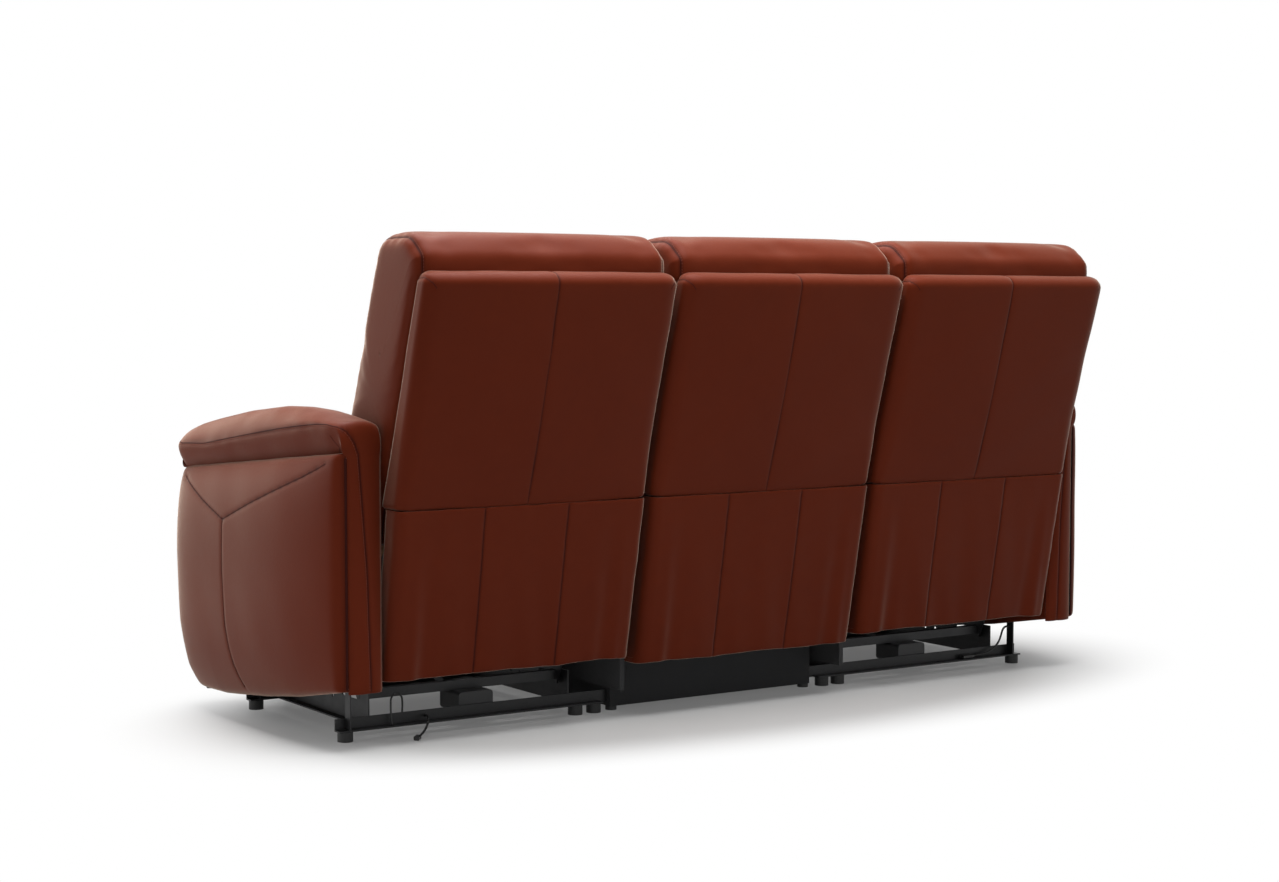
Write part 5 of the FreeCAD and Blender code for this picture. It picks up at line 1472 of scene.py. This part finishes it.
@dataclass
class Studio:
    """The camera, the pale floor and the soft light."""

    eye: Point = (2.903, 4.251, 0.888)
    yaw: float = 33.5
    pitch: float = 3.5
    lens: float = 2241.0 / 1279.0 * 36.0
    floor_glow: float = 0.12
    world_level: float = 0.16

    def camera(self) -> None:
        """Sets the camera at the photograph's place."""
        data = bpy.data.cameras.new("camera")
        data.lens = self.lens
        data.sensor_width = 36.0
        data.clip_end = 60.0
        turn, tip = math.radians(self.yaw), math.radians(self.pitch)
        way = Vector((-math.sin(turn) * math.cos(tip), -math.cos(turn) * math.cos(tip), -math.sin(tip)))
        bpy.context.scene.camera = aimed("camera", data, self.eye, way)

    def floor(self) -> None:
        """Lays a wide pale floor that is white to the camera where no shadow falls."""
        mesh = bpy.data.meshes.new("floor")
        mesh.from_pydata([(-14, -14, 0), (14, -14, 0), (14, 14, 0), (-14, 14, 0)], [], [(0, 1, 2, 3)])
        thing = placed("floor", mesh)
        recipe = Recipe("pale floor")
        tone = recipe.mix(recipe.noise(2.0, 2.0), (0.50, 0.50, 0.495), (0.53, 0.53, 0.525))
        matte = recipe.node("ShaderNodeBsdfPrincipled", None, {"Base Color": tone, "Roughness": 0.6})
        glow = recipe.node("ShaderNodeEmission", None, {"Color": (1.0, 1.0, 1.0), "Strength": 1.0})
        where = recipe.place(1.0, (1.0, 2.0, 1.0))
        reach = recipe.signal("ShaderNodeVectorMath", {"operation": "LENGTH"}, {0: where}, 1)
        far = recipe.signal("ShaderNodeMapRange", {"interpolation_type": "SMOOTHSTEP"},
                            {"Value": reach, "From Min": 0.95, "From Max": 1.50, "To Min": self.floor_glow,
                             "To Max": 1.0})
        blend = recipe.node("ShaderNodeMixShader", None, {0: recipe.seen() * far})
        recipe.tree.links.new(matte.outputs[0], blend.inputs[1])
        recipe.tree.links.new(glow.outputs[0], blend.inputs[2])
        recipe.close(blend)
        mesh.materials.append(recipe.material)

    def lamp(self, name: str, place: Point, aim: Point, size: tuple[float, float], power: float) -> None:
        """Hangs one large soft lamp."""
        data = bpy.data.lights.new(name, "AREA")
        data.shape = "RECTANGLE"
        data.size, data.size_y = size
        data.energy = power
        aimed(name, data, place, Vector(aim) - Vector(place))

    def light(self) -> None:
        """Sets the lamps and a world that is white to the camera and grey to the object."""
        self.lamp("overhead", (0.3, -0.15, 3.3), (0.0, -0.15, 0.5), (4.5, 2.6), 310.0)
        self.lamp("window", (4.0, -2.6, 1.9), (0.4, 0.0, 0.5), (3.0, 2.6), 64.0)
        self.lamp("fill", (2.2, 5.2, 2.4), (0.0, 0.3, 0.5), (3.0, 2.5), 5.0)
        recipe = Recipe("studio", True)
        level = recipe.seen() * (1.0 - self.world_level) + self.world_level
        recipe.close(recipe.node("ShaderNodeBackground", None, {"Color": (1.0, 1.0, 1.0), "Strength": level}))
        bpy.context.scene.world = recipe.material

    def build(self) -> None:
        """Sets up the whole studio."""
        self.camera()
        self.floor()
        self.light()
        bpy.context.scene.view_settings.view_transform = "Standard"


def all_finishes() -> dict[str, bpy.types.Material]:
    """Every finish, by its plain name."""
    makers = {
        "seat leather": Leather("seat leather"),
        "rear leather": Leather("rear leather"),
        "arm leather": Leather("arm leather"),
        "black steel": Steel("black steel"),
        "spring steel": Steel("spring steel", (0.16, 0.16, 0.165), (0.30, 0.30, 0.31), 0.9, 0.35),
        "brushed plate": Steel("brushed plate", (0.45, 0.45, 0.46), (0.60, 0.60, 0.61), 1.0, 0.32),
        "button metal": Steel("button metal", (0.62, 0.62, 0.63), (0.75, 0.75, 0.76), 1.0, 0.18),
        "drive plastic": Plastic("drive plastic"),
        "foot plastic": Plastic("foot plastic", (0.014, 0.014, 0.014), 0.6),
        "connector": Plastic("connector", (0.015, 0.015, 0.015), 0.35),
        "cable sheath": Plastic("cable sheath", (0.010, 0.010, 0.010), 0.45),
        "dust cloth": DustCloth("dust cloth"),
        "frame timber": Timber("frame timber"),
        "thread": Thread("thread"),
        # painted shade: a near-black cord material for the seam valleys, made like thread
        "crease": Thread("crease", (0.022, 0.004, 0.003)),
    }
    return {word: maker.build() for word, maker in makers.items()}


def main() -> None:
    """Builds the sofa's visible parts on the frame, in order."""
    logging.basicConfig(level=logging.INFO, format="%(name)s: %(message)s")
    Studio().build()
    finishes = all_finishes()
    shop = Workshop(finishes, Upholstery(finishes["thread"], finishes["crease"]))
    for lead in LEADS:
        lead.build(shop)
    for phase, (name, middle) in enumerate(PLACES):
        fixed = name == "centre"
        Back(name, middle, "base" if fixed else f"{name}_back", CENTRE_DROP if fixed else 0.0, phase).build(shop)
    for name, middle in PLACES:
        fixed = name == "centre"
        Seat(name, middle, "base" if fixed else f"{name}_carriage", "base" if fixed else f"{name}_footrest",
             "centre_front_panel" if fixed else f"{name}_footrest_pad", 0.4053 if fixed else 0.405).build(shop)
    for side in Side:
        Arm(side).build(shop)
    Undercarriage().build(shop)


if __name__ == "__main__":
    main()
